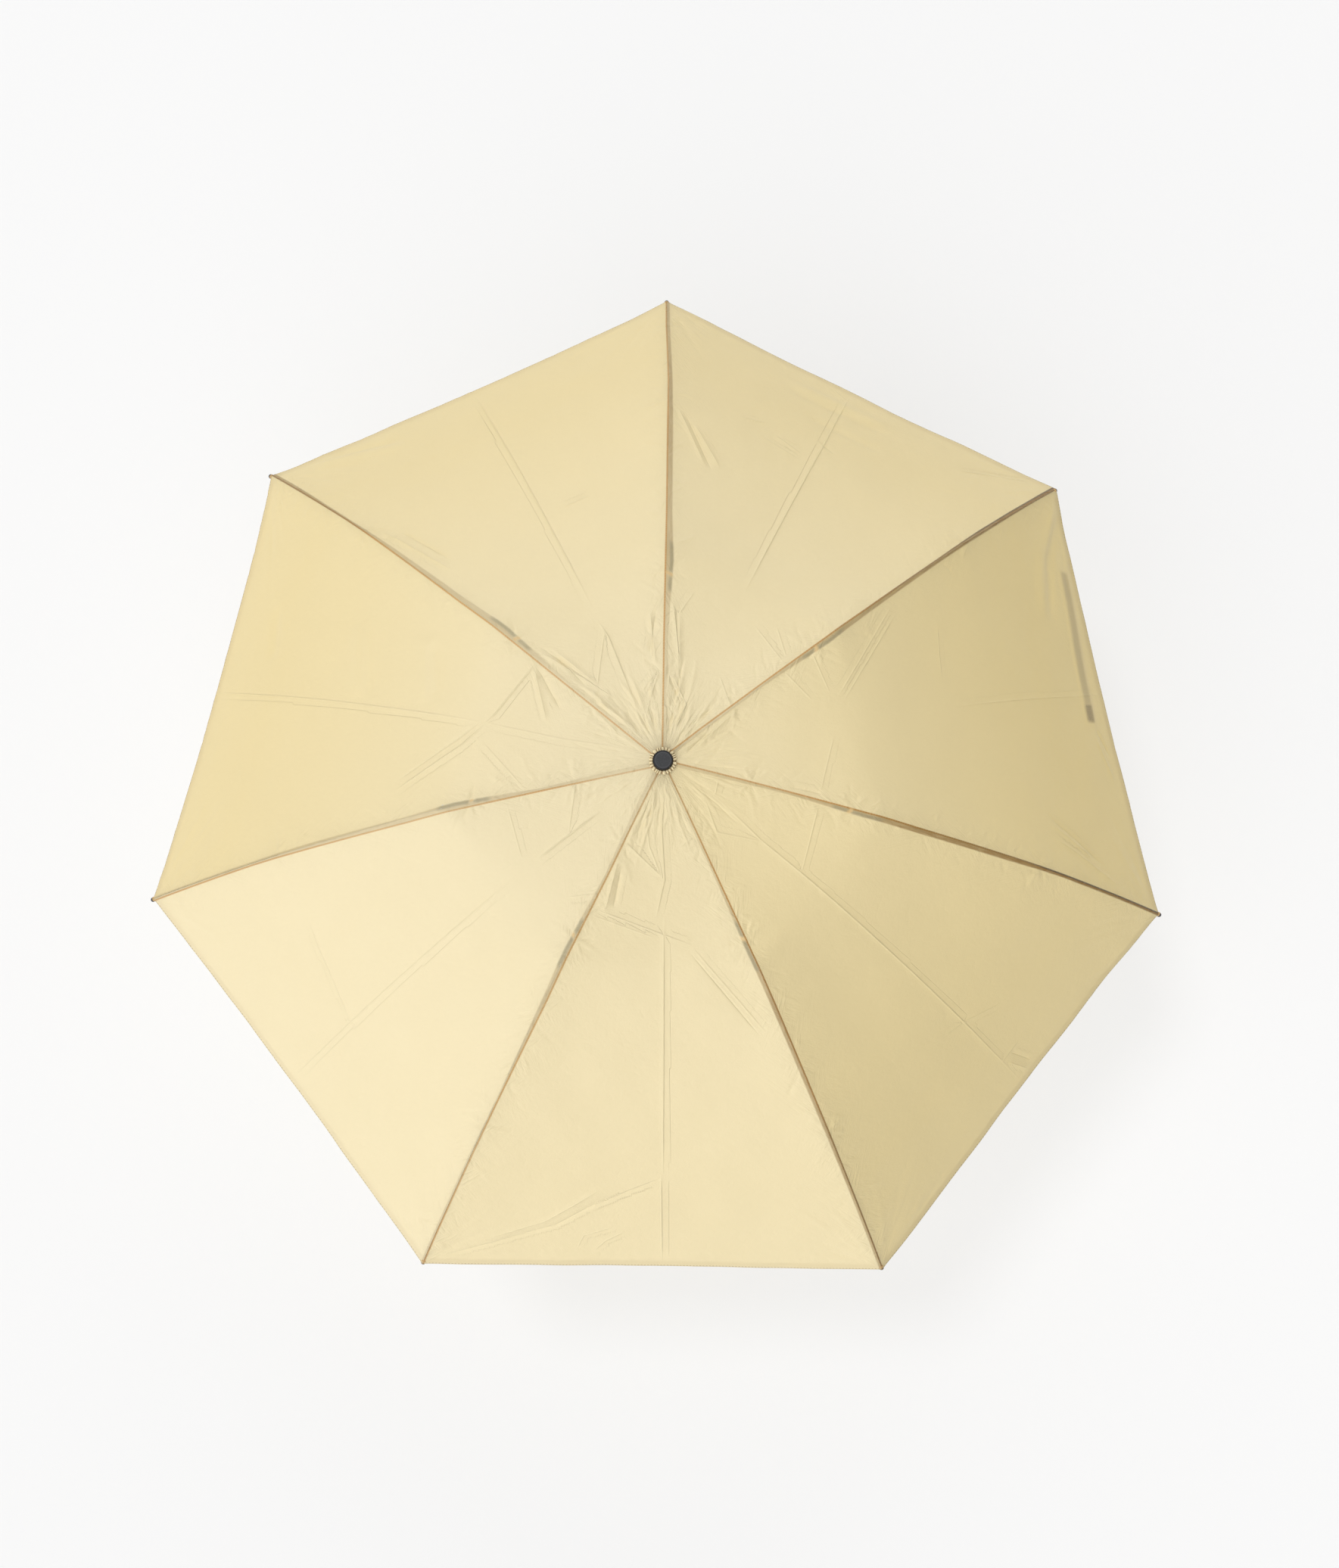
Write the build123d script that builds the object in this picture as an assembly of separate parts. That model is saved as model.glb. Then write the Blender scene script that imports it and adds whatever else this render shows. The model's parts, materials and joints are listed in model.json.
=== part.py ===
from build123d import *
import os
from math import asin, atan2, cos, degrees, hypot, pi, radians, sin, sqrt

# Folding umbrella, opened: seven three-section ribs on a telescoping three-tube shaft.
#
# Millimetres, +Z up. The origin is the centre of the handle's flat end, and the shaft runs along +Z.
# Rib 1 points along +Y and the others follow clockwise, seen from above.
#
# Each rib works in one vertical plane. Its moving pieces lie in their own layers across that plane, so
# that they pass one another as the umbrella folds:
#     centre     top rib, stretcher, middle rib and outer rib
#     left (+)   link rib, from the stretcher to the middle rib's inner arm
#     right (-)  inner arms of the middle and outer ribs, and outside them the control wire
# Opened and folded are both worked out here, and the pivots agree at both.

# ---------------------------------------------------------------- driving dimensions
RIB_COUNT = 7

# shaft: three telescoping tubes, the thickest at the top
upper_tube_radius = 5.0
tube_wall = 0.5
tube_clearance = 0.25
upper_tube_length = 195.0
middle_tube_exposed = 150.0
middle_tube_overlap = 22.0
lower_tube_exposed = 135.0
lower_tube_overlap = 18.0
collapsed_gap = 2.0
snap_nose_radius = 1.3
snap_strip_width = 2.4
snap_strip_thickness = 0.4
snap_nose_depth = 6.0
snap_leg_length = 14.0

# handle
handle_length = 62.0
handle_radius = 13.5
handle_neck_radius = 8.5
handle_shoulder = 14.0
handle_groove_depth = 0.8
handle_groove_width = 1.4
end_cap_height = 9.0
end_cap_radius = 13.0
end_cap_round = 3.0
end_cap_spigot_radius = 10.0
end_cap_spigot_height = 5.0
socket_floor = 2.0
lanyard_hole_radius = 1.8
seat_gap = 0.1

# crown, cap and gathered collar
crown_pivot_radius = 11.0
crown_radius = 14.2
crown_above = 2.8
crown_below = 3.2
crown_skirt_wall = 1.4
crown_skirt_length = 7.0
crown_plug_length = 14.0
crown_stem_radius = 5.0
crown_stem_height = 7.6
crown_wire_radius = 0.5
slot_side_gap = 0.3
cap_radius = 8.5
cap_height = 3.0
cap_edge = 0.7
cap_roof = 1.6
cap_scallops = 16
cap_scallop_radius = 1.1
cap_scallop_depth = 0.4
collar_radius = 12.2
collar_height = 2.4
soft_gap = 0.3

# runner
runner_pivot_radius = 8.8
runner_bore_clearance = 0.25
runner_sleeve_radius = 7.0
runner_flange_radius = 11.6
runner_flange_half = 3.2
runner_neck_height = 4.0
runner_neck_radius = 6.6
runner_sleeve_length = 26.0
runner_foot_radius = 8.4
runner_foot_height = 3.0
runner_slot_floor = 7.0
runner_wire_radius = 0.45
button_width = 5.0
button_height = 11.0
button_proud = 1.5
button_below_flange = 3.0
button_gap = 0.2
button_groove = 0.8
button_groove_pitch = 2.2
button_travel = 0.8
catch_width = 2.4
catch_thickness = 0.4
catch_nose = 1.0
catch_gap = 0.2
catch_length = 11.4

# top rib: channel that hangs from the crown
top_rib_length = 181.0
top_rib_slope = -2.4
top_rib_folded = -90.0
top_rib_bow = 1.9
top_rib_width = 3.6
top_rib_height = 3.2
top_rib_wall = 0.45
top_rib_tongue = 4.5
ear_half_length = 3.2
eye_radius = 1.7
eye_hole_radius = 0.8

# middle rib: channel from the first fold to the second
middle_rib_length = 175.5
middle_rib_slope = -25.8
middle_rib_bow = 4.0
middle_rib_width = 3.2
middle_rib_height = 2.8
middle_rib_wall = 0.4
middle_rib_folded = 84.4

# outer rib: round rod from the second fold to the rim
outer_rib_length = 185.7
outer_rib_slope = -41.0
outer_rib_bow = 4.0
outer_rib_radius = 1.4
outer_rib_folded = -95.4
socket_radius = 2.2
socket_start = 5.0
socket_length = 14.0
tip_radius = 1.9
tip_length = 10.0
tip_ball_radius = 2.2
tip_thread_hole = 0.5

# stretcher, link rib and control wire
stretcher_pivot = 60.0
stretcher_drop = 3.4
stretcher_length = 80.0
stretcher_width = 2.2
stretcher_height = 2.6
stretcher_wall = 0.4
stretcher_solid_end = 17.0
link_arm_length = 18.0
link_arm_angle = 205.0
link_height = 2.2
control_wire_radius = 0.6
control_wire_bow = 2.5
control_anchor_back = 12.0
control_anchor_rise = 0.5
control_arm_angle = 199.9

# pivots
first_fold_rise = 1.9
second_fold_drop = 2.2
rivet_radius = 0.6
rivet_head_radius = 1.0
rivet_head = 0.25
pivot_clearance = 0.1
pivot_wall = 0.9
layer_gap = 0.3
arm_plate = 0.8

# canopy and tie strap
canopy_thickness = 0.4
canopy_over_crown = 14.0
canopy_over_first_fold = 4.6
canopy_over_second_fold = 3.6
canopy_over_tip = 3.4
canopy_short_of_tip = 5.0
strap_length = 150.0
strap_width = 14.0
strap_thickness = 0.8
strap_patch_length = 22.0
strap_patch_thickness = 0.6
strap_from_hem = 24.0
strap_centre_share = 0.37
strap_slant = 6.0


# ---------------------------------------------------------------- worked-out places
def turned(point, angle):
    """A point (x, z) of a rib's plane, turned by an angle in degrees, x towards z."""
    c, s = cos(radians(angle)), sin(radians(angle))
    return (c * point[0] - s * point[1], s * point[0] + c * point[1])


def plus(a, b):
    return (a[0] + b[0], a[1] + b[1])


def minus(a, b):
    return (a[0] - b[0], a[1] - b[1])


def heading(a, b):
    """Direction from a to b, in degrees."""
    return degrees(atan2(b[1] - a[1], b[0] - a[0]))


def distance(a, b):
    return hypot(b[0] - a[0], b[1] - a[1])


def equal_reach(opened, folded):
    """How far along its arm a pin lies, so that the rod from it is as long opened as folded.

    Each case is (pivot of the arm, direction of the arm, far end of the rod).
    """
    totals = []
    for pivot, direction, far in (opened, folded):
        away = minus(pivot, far)
        unit = turned((1, 0), direction)
        totals.append((away[0] ** 2 + away[1] ** 2, unit[0] * away[0] + unit[1] * away[1]))
    return (totals[1][0] - totals[0][0]) / (2 * (totals[0][1] - totals[1][1]))


class Fold:
    """Where one rib's pivots lie, from the three section angles. (0, 0) is on the shaft's axis."""

    def __init__(self, top, middle, outer):
        self.top, self.middle, self.outer = top, middle, outer
        self.crown = (crown_pivot_radius, 0.0)
        self.first = plus(self.crown, turned((top_rib_length, first_fold_rise), top))
        self.middle_start = minus(self.first, turned((0, first_fold_rise), middle))
        self.second = plus(
            self.middle_start, turned((middle_rib_length, -second_fold_drop), middle)
        )
        self.outer_start = minus(self.second, turned((0, -second_fold_drop), outer))
        self.tip = plus(self.outer_start, turned((outer_rib_length, 0), outer))
        self.knee = plus(self.crown, turned((stretcher_pivot, -stretcher_drop), top))
        across = self.knee[0] - runner_pivot_radius
        self.runner = (
            runner_pivot_radius,
            self.knee[1] - sqrt(stretcher_length**2 - across**2),
        )
        self.stretcher = heading(self.knee, self.runner) % 360
        self.anchor = plus(
            self.crown,
            turned((top_rib_length - control_anchor_back, control_anchor_rise), top),
        )
        self.link_arm = link_arm_angle + middle - middle_rib_slope
        self.link_end = plus(self.first, turned((link_arm_length, 0), self.link_arm))
        self.control_arm = control_arm_angle + outer

    def close_rods(self, link_pin, control_pin):
        """Adds the pins at the two solved distances, and the rods between them."""
        self.link_start = plus(self.knee, turned((link_pin, 0), self.stretcher))
        self.control_end = plus(self.second, turned((control_pin, 0), self.control_arm))
        self.link = heading(self.link_start, self.link_end)
        self.control = heading(self.anchor, self.control_end)


opened = Fold(top_rib_slope, middle_rib_slope, outer_rib_slope)
folded = Fold(top_rib_folded, middle_rib_folded, outer_rib_folded)
link_pin = equal_reach(
    (opened.knee, opened.stretcher, opened.link_end),
    (folded.knee, folded.stretcher, folded.link_end),
)
control_pin = equal_reach(
    (opened.second, opened.control_arm, opened.anchor),
    (folded.second, folded.control_arm, folded.anchor),
)
for state in (opened, folded):
    state.close_rods(link_pin, control_pin)
link_length = distance(opened.link_start, opened.link_end)
control_length = distance(opened.anchor, opened.control_end)
runner_travel = opened.runner[1] - folded.runner[1]

middle_tube_radius = upper_tube_radius - tube_wall - tube_clearance
lower_tube_radius = middle_tube_radius - tube_wall - tube_clearance
lower_slide = lower_tube_exposed - collapsed_gap
upper_slide = middle_tube_exposed - collapsed_gap

lower_tube_bottom = end_cap_height + end_cap_spigot_height + socket_floor
middle_tube_bottom = handle_length + lower_tube_exposed
upper_tube_bottom = middle_tube_bottom + middle_tube_exposed
crown_z = upper_tube_bottom + upper_tube_length + crown_below
lower_tube_top = middle_tube_bottom + lower_tube_overlap
middle_tube_top = upper_tube_bottom + middle_tube_overlap
runner_z = crown_z + opened.runner[1]
button_top = runner_z - runner_flange_half - button_below_flange
catch_top = button_top - 1.4
catch_bottom = catch_top - catch_length

rib_slot_width = top_rib_width + 2 * slot_side_gap
stretcher_half = stretcher_width / 2
arm_inner = top_rib_width / 2 + layer_gap
arm_outer = arm_inner + arm_plate
wire_centre = arm_outer + layer_gap + control_wire_radius
eye_outer = rivet_radius + pivot_clearance + pivot_wall


def azimuth(rib):
    """Azimuth of rib 1, 2, ... in degrees."""
    return 90.0 - (rib - 1) * 360.0 / RIB_COUNT


# ---------------------------------------------------------------- building blocks
def tube(radius, wall, bottom, top):
    ring = Circle(radius) - Circle(radius - wall)
    return Pos(0, 0, bottom) * extrude(ring, top - bottom)


def rod(radius, bottom, top):
    return Pos(0, 0, bottom) * extrude(Circle(radius), top - bottom)


def turned_part(points):
    """Solid of revolution about Z from (radius, z) points."""
    outline = Plane.XZ * make_face(Polyline(*points, close=True))
    return revolve(outline, Axis.Z, 360)


def plate(sketch, near, far):
    """A sketch of the rib's plane, as (x, z), made solid between two distances across it."""
    side = Plane(origin=(0, near, 0), x_dir=(1, 0, 0), z_dir=(0, -1, 0))
    return extrude(side * sketch, amount=-(far - near))


def disc(point, radius, near, far):
    return plate(Pos(*point) * Circle(radius), near, far)


def strip(a, b, half_width, near, far):
    """A flat bar with round ends, from a to b in the rib's plane."""
    middle = ((a[0] + b[0]) / 2, (a[1] + b[1]) / 2)
    bar = Pos(*middle) * Rot(0, 0, heading(a, b)) * Rectangle(distance(a, b), 2 * half_width)
    ends = [Pos(*p) * Circle(half_width) for p in (a, b)]
    return plate(bar + ends, near, far)


def block(x, z, near, far):
    """A box between two x, two z and two distances across."""
    size = (x[1] - x[0], far - near, z[1] - z[0])
    centre = ((x[0] + x[1]) / 2, (near + far) / 2, (z[0] + z[1]) / 2)
    return Pos(*centre) * Box(*size)


def bowed(section, chord, bow, start, end):
    """A section swept along the arc that rises by bow over a chord, between two x of the chord.

    The section is drawn as (across, up) about the arc's own line.
    """
    arc_radius = (chord**2 / 4 + bow**2) / (2 * bow)
    centre = (chord / 2, bow - arc_radius)
    first = degrees(asin((start - centre[0]) / arc_radius))
    last = degrees(asin((end - centre[0]) / arc_radius))
    upright = Plane(
        origin=(centre[0], 0, centre[1] + arc_radius), x_dir=(0, 1, 0), z_dir=(1, 0, 0)
    )
    hinge = Axis((centre[0], 0, centre[1]), (0, 1, 0))
    return revolve((upright * section).rotate(hinge, first), hinge, last - first)


def channel(width, height, wall):
    """U section, open downwards."""
    outside = Rectangle(width, height)
    inside = Pos(0, -wall / 2) * Rectangle(width - 2 * wall, height - wall)
    return outside - inside


def rivet(point, near, far):
    """A pin with a flat head at each end."""
    return (
        disc(point, rivet_radius, near, far)
        + disc(point, rivet_head_radius, near - rivet_head, near)
        + disc(point, rivet_head_radius, far, far + rivet_head)
    )


def placed(shape, origin, angle):
    """A piece from its own frame to the opened umbrella, in the plane of azimuth 0."""
    c, s = cos(radians(angle)), sin(radians(angle))
    frame = Plane(origin=(origin[0], 0, crown_z + origin[1]), x_dir=(c, 0, s), z_dir=(-s, 0, c))
    return frame.location * shape


# ---------------------------------------------------------------- rib pieces, each in its own frame
def top_rib():
    half = top_rib_width / 2
    inside = half - top_rib_wall
    end = top_rib_length - top_rib_tongue
    tongue = stretcher_half - 0.2
    body = bowed(
        channel(top_rib_width, top_rib_height, top_rib_wall),
        top_rib_length,
        top_rib_bow,
        eye_radius + 1.5,
        end,
    )
    # solid end in the crown's slot, with the eye that the crown's wire passes through
    body += block((0, eye_radius + 5), (-eye_radius + 0.2, eye_radius - 0.2), -half, half)
    body += disc((0, 0), eye_radius, -half, half)
    body -= disc((0, 0), eye_hole_radius, -half - 1, half + 1)
    # ears for the stretcher, below the channel
    for side in (-1, 1):
        near, far = sorted((side * half, side * inside))
        ear_x = (stretcher_pivot - ear_half_length, stretcher_pivot + ear_half_length)
        body += block(ear_x, (-stretcher_drop, 1.0), near, far)
        round_half = ear_half_length - eye_outer
        body += strip(
            (stretcher_pivot - round_half, -stretcher_drop),
            (stretcher_pivot + round_half, -stretcher_drop),
            eye_outer,
            near,
            far,
        )
    body += rivet((stretcher_pivot, -stretcher_drop), -half, half)
    # tongue that carries the first fold's pin
    body += block(
        (end - 6, end + 1), (-top_rib_height / 2 + 0.4, top_rib_height / 2), -inside, inside
    )
    body += strip((end, 0), (top_rib_length, first_fold_rise), eye_outer - 0.1, -tongue, tongue)
    body -= disc((top_rib_length, first_fold_rise), rivet_radius + pivot_clearance, -half, half)
    # stub for the control wire
    anchor = (top_rib_length - control_anchor_back, control_anchor_rise)
    body += disc(anchor, rivet_radius, -wire_centre - control_wire_radius, -inside)
    body += disc(
        anchor,
        rivet_head_radius,
        -wire_centre - control_wire_radius - rivet_head,
        -wire_centre - control_wire_radius,
    )
    return body


def stretcher():
    body = Pos(stretcher_length / 2, 0, 0) * Box(
        stretcher_length - 6, stretcher_width, stretcher_height
    )
    groove = Pos(stretcher_length / 2, 0, stretcher_wall) * Box(
        stretcher_length - 2 * stretcher_solid_end, stretcher_width - 2 * stretcher_wall, stretcher_height
    )
    body -= groove
    body += strip((0, 0), (8, 0), eye_outer - 0.1, -stretcher_half, stretcher_half)
    body -= disc((0, 0), rivet_radius + pivot_clearance, -stretcher_half - 1, stretcher_half + 1)
    # inner end: a hook that drops onto the runner's wire
    end = (stretcher_length, 0)
    body += strip((stretcher_length - 8, 0), end, eye_outer - 0.1, -stretcher_half, stretcher_half)
    body -= disc(end, runner_wire_radius + 0.25, -stretcher_half - 1, stretcher_half + 1)
    # pin of the link rib
    far = arm_inner + arm_plate
    body += disc((link_pin, 0), rivet_radius, stretcher_half, far)
    body += disc((link_pin, 0), rivet_head_radius, far, far + rivet_head)
    return body


def link_rib():
    half = link_height / 2
    body = strip((0, 0), (link_length, 0), half, arm_inner, arm_outer)
    body -= disc((0, 0), rivet_radius + pivot_clearance, arm_inner - 1, arm_outer + 1)
    body -= disc((link_length, 0), rivet_radius, arm_inner - 1, arm_outer + 1)
    return body


def middle_rib():
    half = middle_rib_width / 2
    inside = half - middle_rib_wall
    cheek_in, cheek_out = stretcher_half, arm_inner - 0.2
    pin = (0, first_fold_rise)
    last = (middle_rib_length, -second_fold_drop)
    body = bowed(
        channel(middle_rib_width, middle_rib_height, middle_rib_wall),
        middle_rib_length,
        middle_rib_bow,
        5.0,
        middle_rib_length - 1.0,
    )
    # fork at the first fold
    body += block((5, 12), (-middle_rib_height / 2, middle_rib_height / 2), -half, half)
    for side in (-1, 1):
        near, far = sorted((side * cheek_in, side * cheek_out))
        body += strip((6.5, 0), pin, eye_outer - 0.1, near, far)
    body += rivet(pin, -cheek_out, cheek_out)
    # inner arm, which the link rib works
    arm = plus(pin, turned((link_arm_length, 0), link_arm_angle - middle_rib_slope))
    body += strip((8, 0), pin, eye_outer - 0.1, -arm_outer, -cheek_out)
    body += strip(pin, arm, eye_outer - 0.1, -arm_outer, -arm_inner)
    body += disc(arm, rivet_radius, -arm_inner, arm_inner - 0.2)
    # ears and pin at the second fold
    for side in (-1, 1):
        near, far = sorted((side * half, side * inside))
        body += strip((middle_rib_length - 2.5, 0), last, eye_outer - 0.1, near, far)
    body += rivet(last, -half, half)
    return body


def outer_rib():
    pin = (0, -second_fold_drop)
    tongue = middle_rib_width / 2 - middle_rib_wall - 0.25
    arm = plus(pin, turned((control_pin, 0), control_arm_angle))
    body = bowed(
        Circle(outer_rib_radius),
        outer_rib_length,
        outer_rib_bow,
        socket_start + 2,
        outer_rib_length - tip_length + 1,
    )
    # moulded socket round the rod, with the tongue and the arm
    body += bowed(
        Circle(socket_radius),
        outer_rib_length,
        outer_rib_bow,
        socket_start,
        socket_start + socket_length,
    )
    body += strip(pin, (socket_start + 2, 0), eye_outer - 0.1, -tongue, tongue)
    body -= disc(pin, rivet_radius + pivot_clearance, -tongue - 1, tongue + 1)
    body += strip(
        (socket_start + 2, 0), (socket_start + 6, 0.4), eye_outer - 0.1, -arm_outer, -outer_rib_radius
    )
    body += strip((socket_start + 2, 0), pin, eye_outer - 0.1, -arm_outer, -arm_inner)
    body += strip(pin, arm, eye_outer - 0.1, -arm_outer, -arm_inner)
    # metal tip with a ball end and a hole for the thread
    tip = bowed(
        Circle(tip_radius),
        outer_rib_length,
        outer_rib_bow,
        outer_rib_length - tip_length,
        outer_rib_length,
    )
    tip += Pos(outer_rib_length, 0, 0) * Sphere(tip_ball_radius)
    tip -= disc((outer_rib_length - 3.6, 0.3), tip_thread_hole, -4, 4)
    return body + tip


def control_wire():
    near, far = -wire_centre - control_wire_radius + 0.1, -wire_centre + control_wire_radius - 0.1
    eye = eye_outer - 0.3
    body = Pos(0, -wire_centre, 0) * bowed(
        Circle(control_wire_radius), control_length, control_wire_bow, 0.9, control_length - 0.9
    )
    body += disc((0, 0), eye, near, far)
    body -= disc((0, 0), rivet_radius + pivot_clearance, near - 1, far + 1)
    body += disc((control_length, 0), eye, near, far)
    return body


# ---------------------------------------------------------------- shaft, handle, crown and runner
def handle_grip():
    shoulder = handle_length - handle_shoulder
    with BuildPart() as grip:
        with BuildSketch(Plane.XZ):
            with BuildLine():
                Polyline(
                    (0, end_cap_height),
                    (handle_radius, end_cap_height),
                    (handle_radius, shoulder),
                )
                TangentArc(
                    (handle_radius, shoulder),
                    (handle_neck_radius, handle_length),
                    tangent=(0, 1),
                )
                Polyline((handle_neck_radius, handle_length), (0, handle_length), (0, end_cap_height))
            make_face()
        revolve(axis=Axis.Z)
    body = grip.part
    body -= tube(handle_radius + 1, 1 + handle_groove_depth, shoulder - handle_groove_width, shoulder)
    body -= rod(end_cap_spigot_radius, end_cap_height - 1, end_cap_height + end_cap_spigot_height)
    body -= rod(lower_tube_radius, lower_tube_bottom, handle_length + 1)
    return body


def handle_end_cap():
    body = rod(end_cap_radius, 0, end_cap_height - seat_gap)
    body = fillet(body.faces().sort_by(Axis.Z)[0].edges(), end_cap_round)
    body += rod(
        end_cap_spigot_radius - seat_gap,
        end_cap_height - 1,
        end_cap_height + end_cap_spigot_height - seat_gap,
    )
    hole = Rot(0, 90, 0) * Cylinder(lanyard_hole_radius, 4 * end_cap_radius)
    return body - Pos(0, 0, end_cap_height / 2 + 0.5) * hole


def snap_hole(radius, z):
    """Round hole through the +Y side of a tube."""
    return Pos(0, radius, z) * Rot(90, 0, 0) * Cylinder(snap_nose_radius + pivot_clearance, 3)


def lower_tube():
    body = tube(lower_tube_radius, tube_wall, lower_tube_bottom, lower_tube_top)
    return body - snap_hole(lower_tube_radius, lower_tube_top - snap_nose_depth)


def middle_tube():
    body = tube(middle_tube_radius, tube_wall, middle_tube_bottom, middle_tube_top)
    body -= snap_hole(middle_tube_radius, lower_tube_top - snap_nose_depth)
    return body - snap_hole(middle_tube_radius, middle_tube_top - snap_nose_depth)


def upper_tube():
    body = tube(upper_tube_radius, tube_wall, upper_tube_bottom, crown_z - crown_below)
    body -= snap_hole(upper_tube_radius, middle_tube_top - snap_nose_depth)
    slot = block(
        (-catch_width / 2 - catch_gap, catch_width / 2 + catch_gap),
        (catch_bottom - catch_gap, catch_bottom + 2 * catch_nose + 1),
        -upper_tube_radius - 1,
        -upper_tube_radius + 1,
    )
    return body - slot


def snap_spring(tube_radius, tube_top, reach):
    """Hairpin of spring strip inside a tube's top, with a nose that stands out to a radius."""
    inner = tube_radius - tube_wall - 0.2
    face = sqrt(inner**2 - (snap_strip_width / 2) ** 2)
    bend = face - snap_strip_thickness / 2
    low = tube_top - snap_nose_depth - snap_leg_length + 4
    high = tube_top - 2
    leg = Rectangle(snap_strip_thickness, high - low)
    profile = Pos(bend, (low + high) / 2) * leg + Pos(-bend, (low + high) / 2) * leg
    ring = Circle(bend + snap_strip_thickness / 2) - Circle(bend - snap_strip_thickness / 2)
    profile += Pos(0, low) * (ring & Pos(0, -bend) * Rectangle(4 * bend, 2 * bend))
    half = snap_strip_width / 2
    hairpin = Rot(0, 0, 90) * plate(profile, -half, half)
    nose = Rot(-90, 0, 0) * Cylinder(
        snap_nose_radius, reach - bend, align=(Align.CENTER, Align.CENTER, Align.MIN)
    )
    return hairpin + Pos(0, bend, tube_top - snap_nose_depth) * nose


def rib_slots(radius, floor, bottom, top):
    """One radial slot for each rib, from a floor radius outwards."""
    slot = Pos((floor + radius) / 2 + 2, 0, (bottom + top) / 2) * Box(
        radius - floor + 4, rib_slot_width, top - bottom
    )
    return [Rot(0, 0, azimuth(n + 1)) * slot for n in range(RIB_COUNT)]


def wire_ring(ring_radius, radius, z):
    return Pos(0, 0, z) * Torus(ring_radius, radius)


def crown():
    top, bottom = crown_z + crown_above, crown_z - crown_below
    skirt = upper_tube_radius + crown_skirt_wall
    plug = upper_tube_radius - tube_wall
    body = rod(crown_radius, bottom, top)
    body = chamfer(body.faces().sort_by(Axis.Z)[-1].edges(), 0.8)
    body += tube(skirt, crown_skirt_wall, bottom - crown_skirt_length, bottom)
    body += rod(plug, bottom - crown_plug_length, bottom)
    body += rod(crown_stem_radius, top, crown_z + crown_stem_height)
    body -= rib_slots(crown_radius, crown_pivot_radius - eye_radius - 0.6, bottom - 1, top + 1)
    groove = crown_wire_radius + pivot_clearance
    body -= Pos(0, 0, crown_z - groove) * extrude(
        Circle(crown_pivot_radius + groove) - Circle(crown_pivot_radius - groove), crown_above + 2
    )
    return body


def top_cap():
    """Button cap pressed on the crown's stem, its rim scalloped for the fingers."""
    bottom = crown_z + crown_above + 2 * soft_gap + canopy_thickness + collar_height + soft_gap
    body = rod(cap_radius, bottom, bottom + cap_height)
    body = fillet(body.faces().sort_by(Axis.Z)[-1].edges(), cap_edge)
    scallop = rod(cap_scallop_radius, bottom - 1, bottom + cap_height + 1)
    body -= PolarLocations(cap_radius + cap_scallop_radius - cap_scallop_depth, cap_scallops) * scallop
    pocket = crown_z + crown_stem_height
    return body - rod(crown_stem_radius, bottom - 1, pocket)


def canopy_collar():
    bottom = crown_z + crown_above + 2 * soft_gap + canopy_thickness
    body = tube(
        collar_radius, collar_radius - crown_stem_radius - soft_gap, bottom, bottom + collar_height
    )
    outer = [e for e in body.edges().filter_by(GeomType.CIRCLE) if abs(e.radius - collar_radius) < 0.01]
    return fillet(outer, 1.1)


def button_outline(extra, inner):
    """The button's outline on the runner's front (-Y) side, grown by extra, as deep as a radius."""
    return block(
        (-button_width / 2 - extra, button_width / 2 + extra),
        (button_top - button_height - extra, button_top + extra),
        -runner_sleeve_radius - button_proud,
        -inner,
    )


def runner():
    bore = upper_tube_radius + runner_bore_clearance
    flange_top = runner_z + runner_flange_half
    flange_bottom = runner_z - runner_flange_half
    foot = flange_bottom - runner_sleeve_length
    body = turned_part(
        [
            (bore, foot),
            (runner_foot_radius, foot),
            (runner_foot_radius, foot + runner_foot_height),
            (runner_sleeve_radius, foot + runner_foot_height + 1.4),
            (runner_sleeve_radius, flange_bottom),
            (runner_flange_radius, flange_bottom),
            (runner_flange_radius, flange_top),
            (runner_neck_radius, flange_top),
            (runner_neck_radius - 0.3, flange_top + runner_neck_height),
            (bore, flange_top + runner_neck_height),
        ]
    )
    body -= rib_slots(runner_flange_radius, runner_slot_floor, flange_bottom - 1, flange_top + 0.01)
    groove = runner_wire_radius + pivot_clearance
    body -= Pos(0, 0, runner_z - groove) * extrude(
        Circle(runner_pivot_radius + groove) - Circle(runner_pivot_radius - groove),
        runner_flange_half + groove + 1,
    )
    window = button_outline(button_gap, bore - catch_thickness)
    catch_slot = block(
        (-catch_width / 2 - catch_gap, catch_width / 2 + catch_gap),
        (catch_bottom - 2, button_top),
        -runner_sleeve_radius,
        catch_thickness - bore,
    )
    return body - window - catch_slot


def runner_button():
    back = upper_tube_radius + runner_bore_clearance + catch_thickness + 0.1 + button_travel
    body = button_outline(0, back) & rod(
        runner_sleeve_radius + button_proud, button_top - button_height - 1, button_top + 1
    )
    face = -runner_sleeve_radius - button_proud
    groove = button_groove / 2
    for n in (-1, 0, 1):
        z = button_top - button_height / 2 + n * button_groove_pitch
        body -= block((-button_width, button_width), (z - groove, z + groove), face - 1, face + groove)
    return body


def runner_catch():
    """Leaf spring between button and tube. Its nose stands in the tube's slot when opened."""
    back = -upper_tube_radius - runner_bore_clearance - 0.1
    half = catch_width / 2
    leaf = block((-half, half), (catch_bottom, catch_top), back - catch_thickness, back)
    nose = block((-half, half), (catch_bottom, catch_bottom + 2 * catch_nose), back, back + catch_nose)
    return leaf + nose


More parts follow.
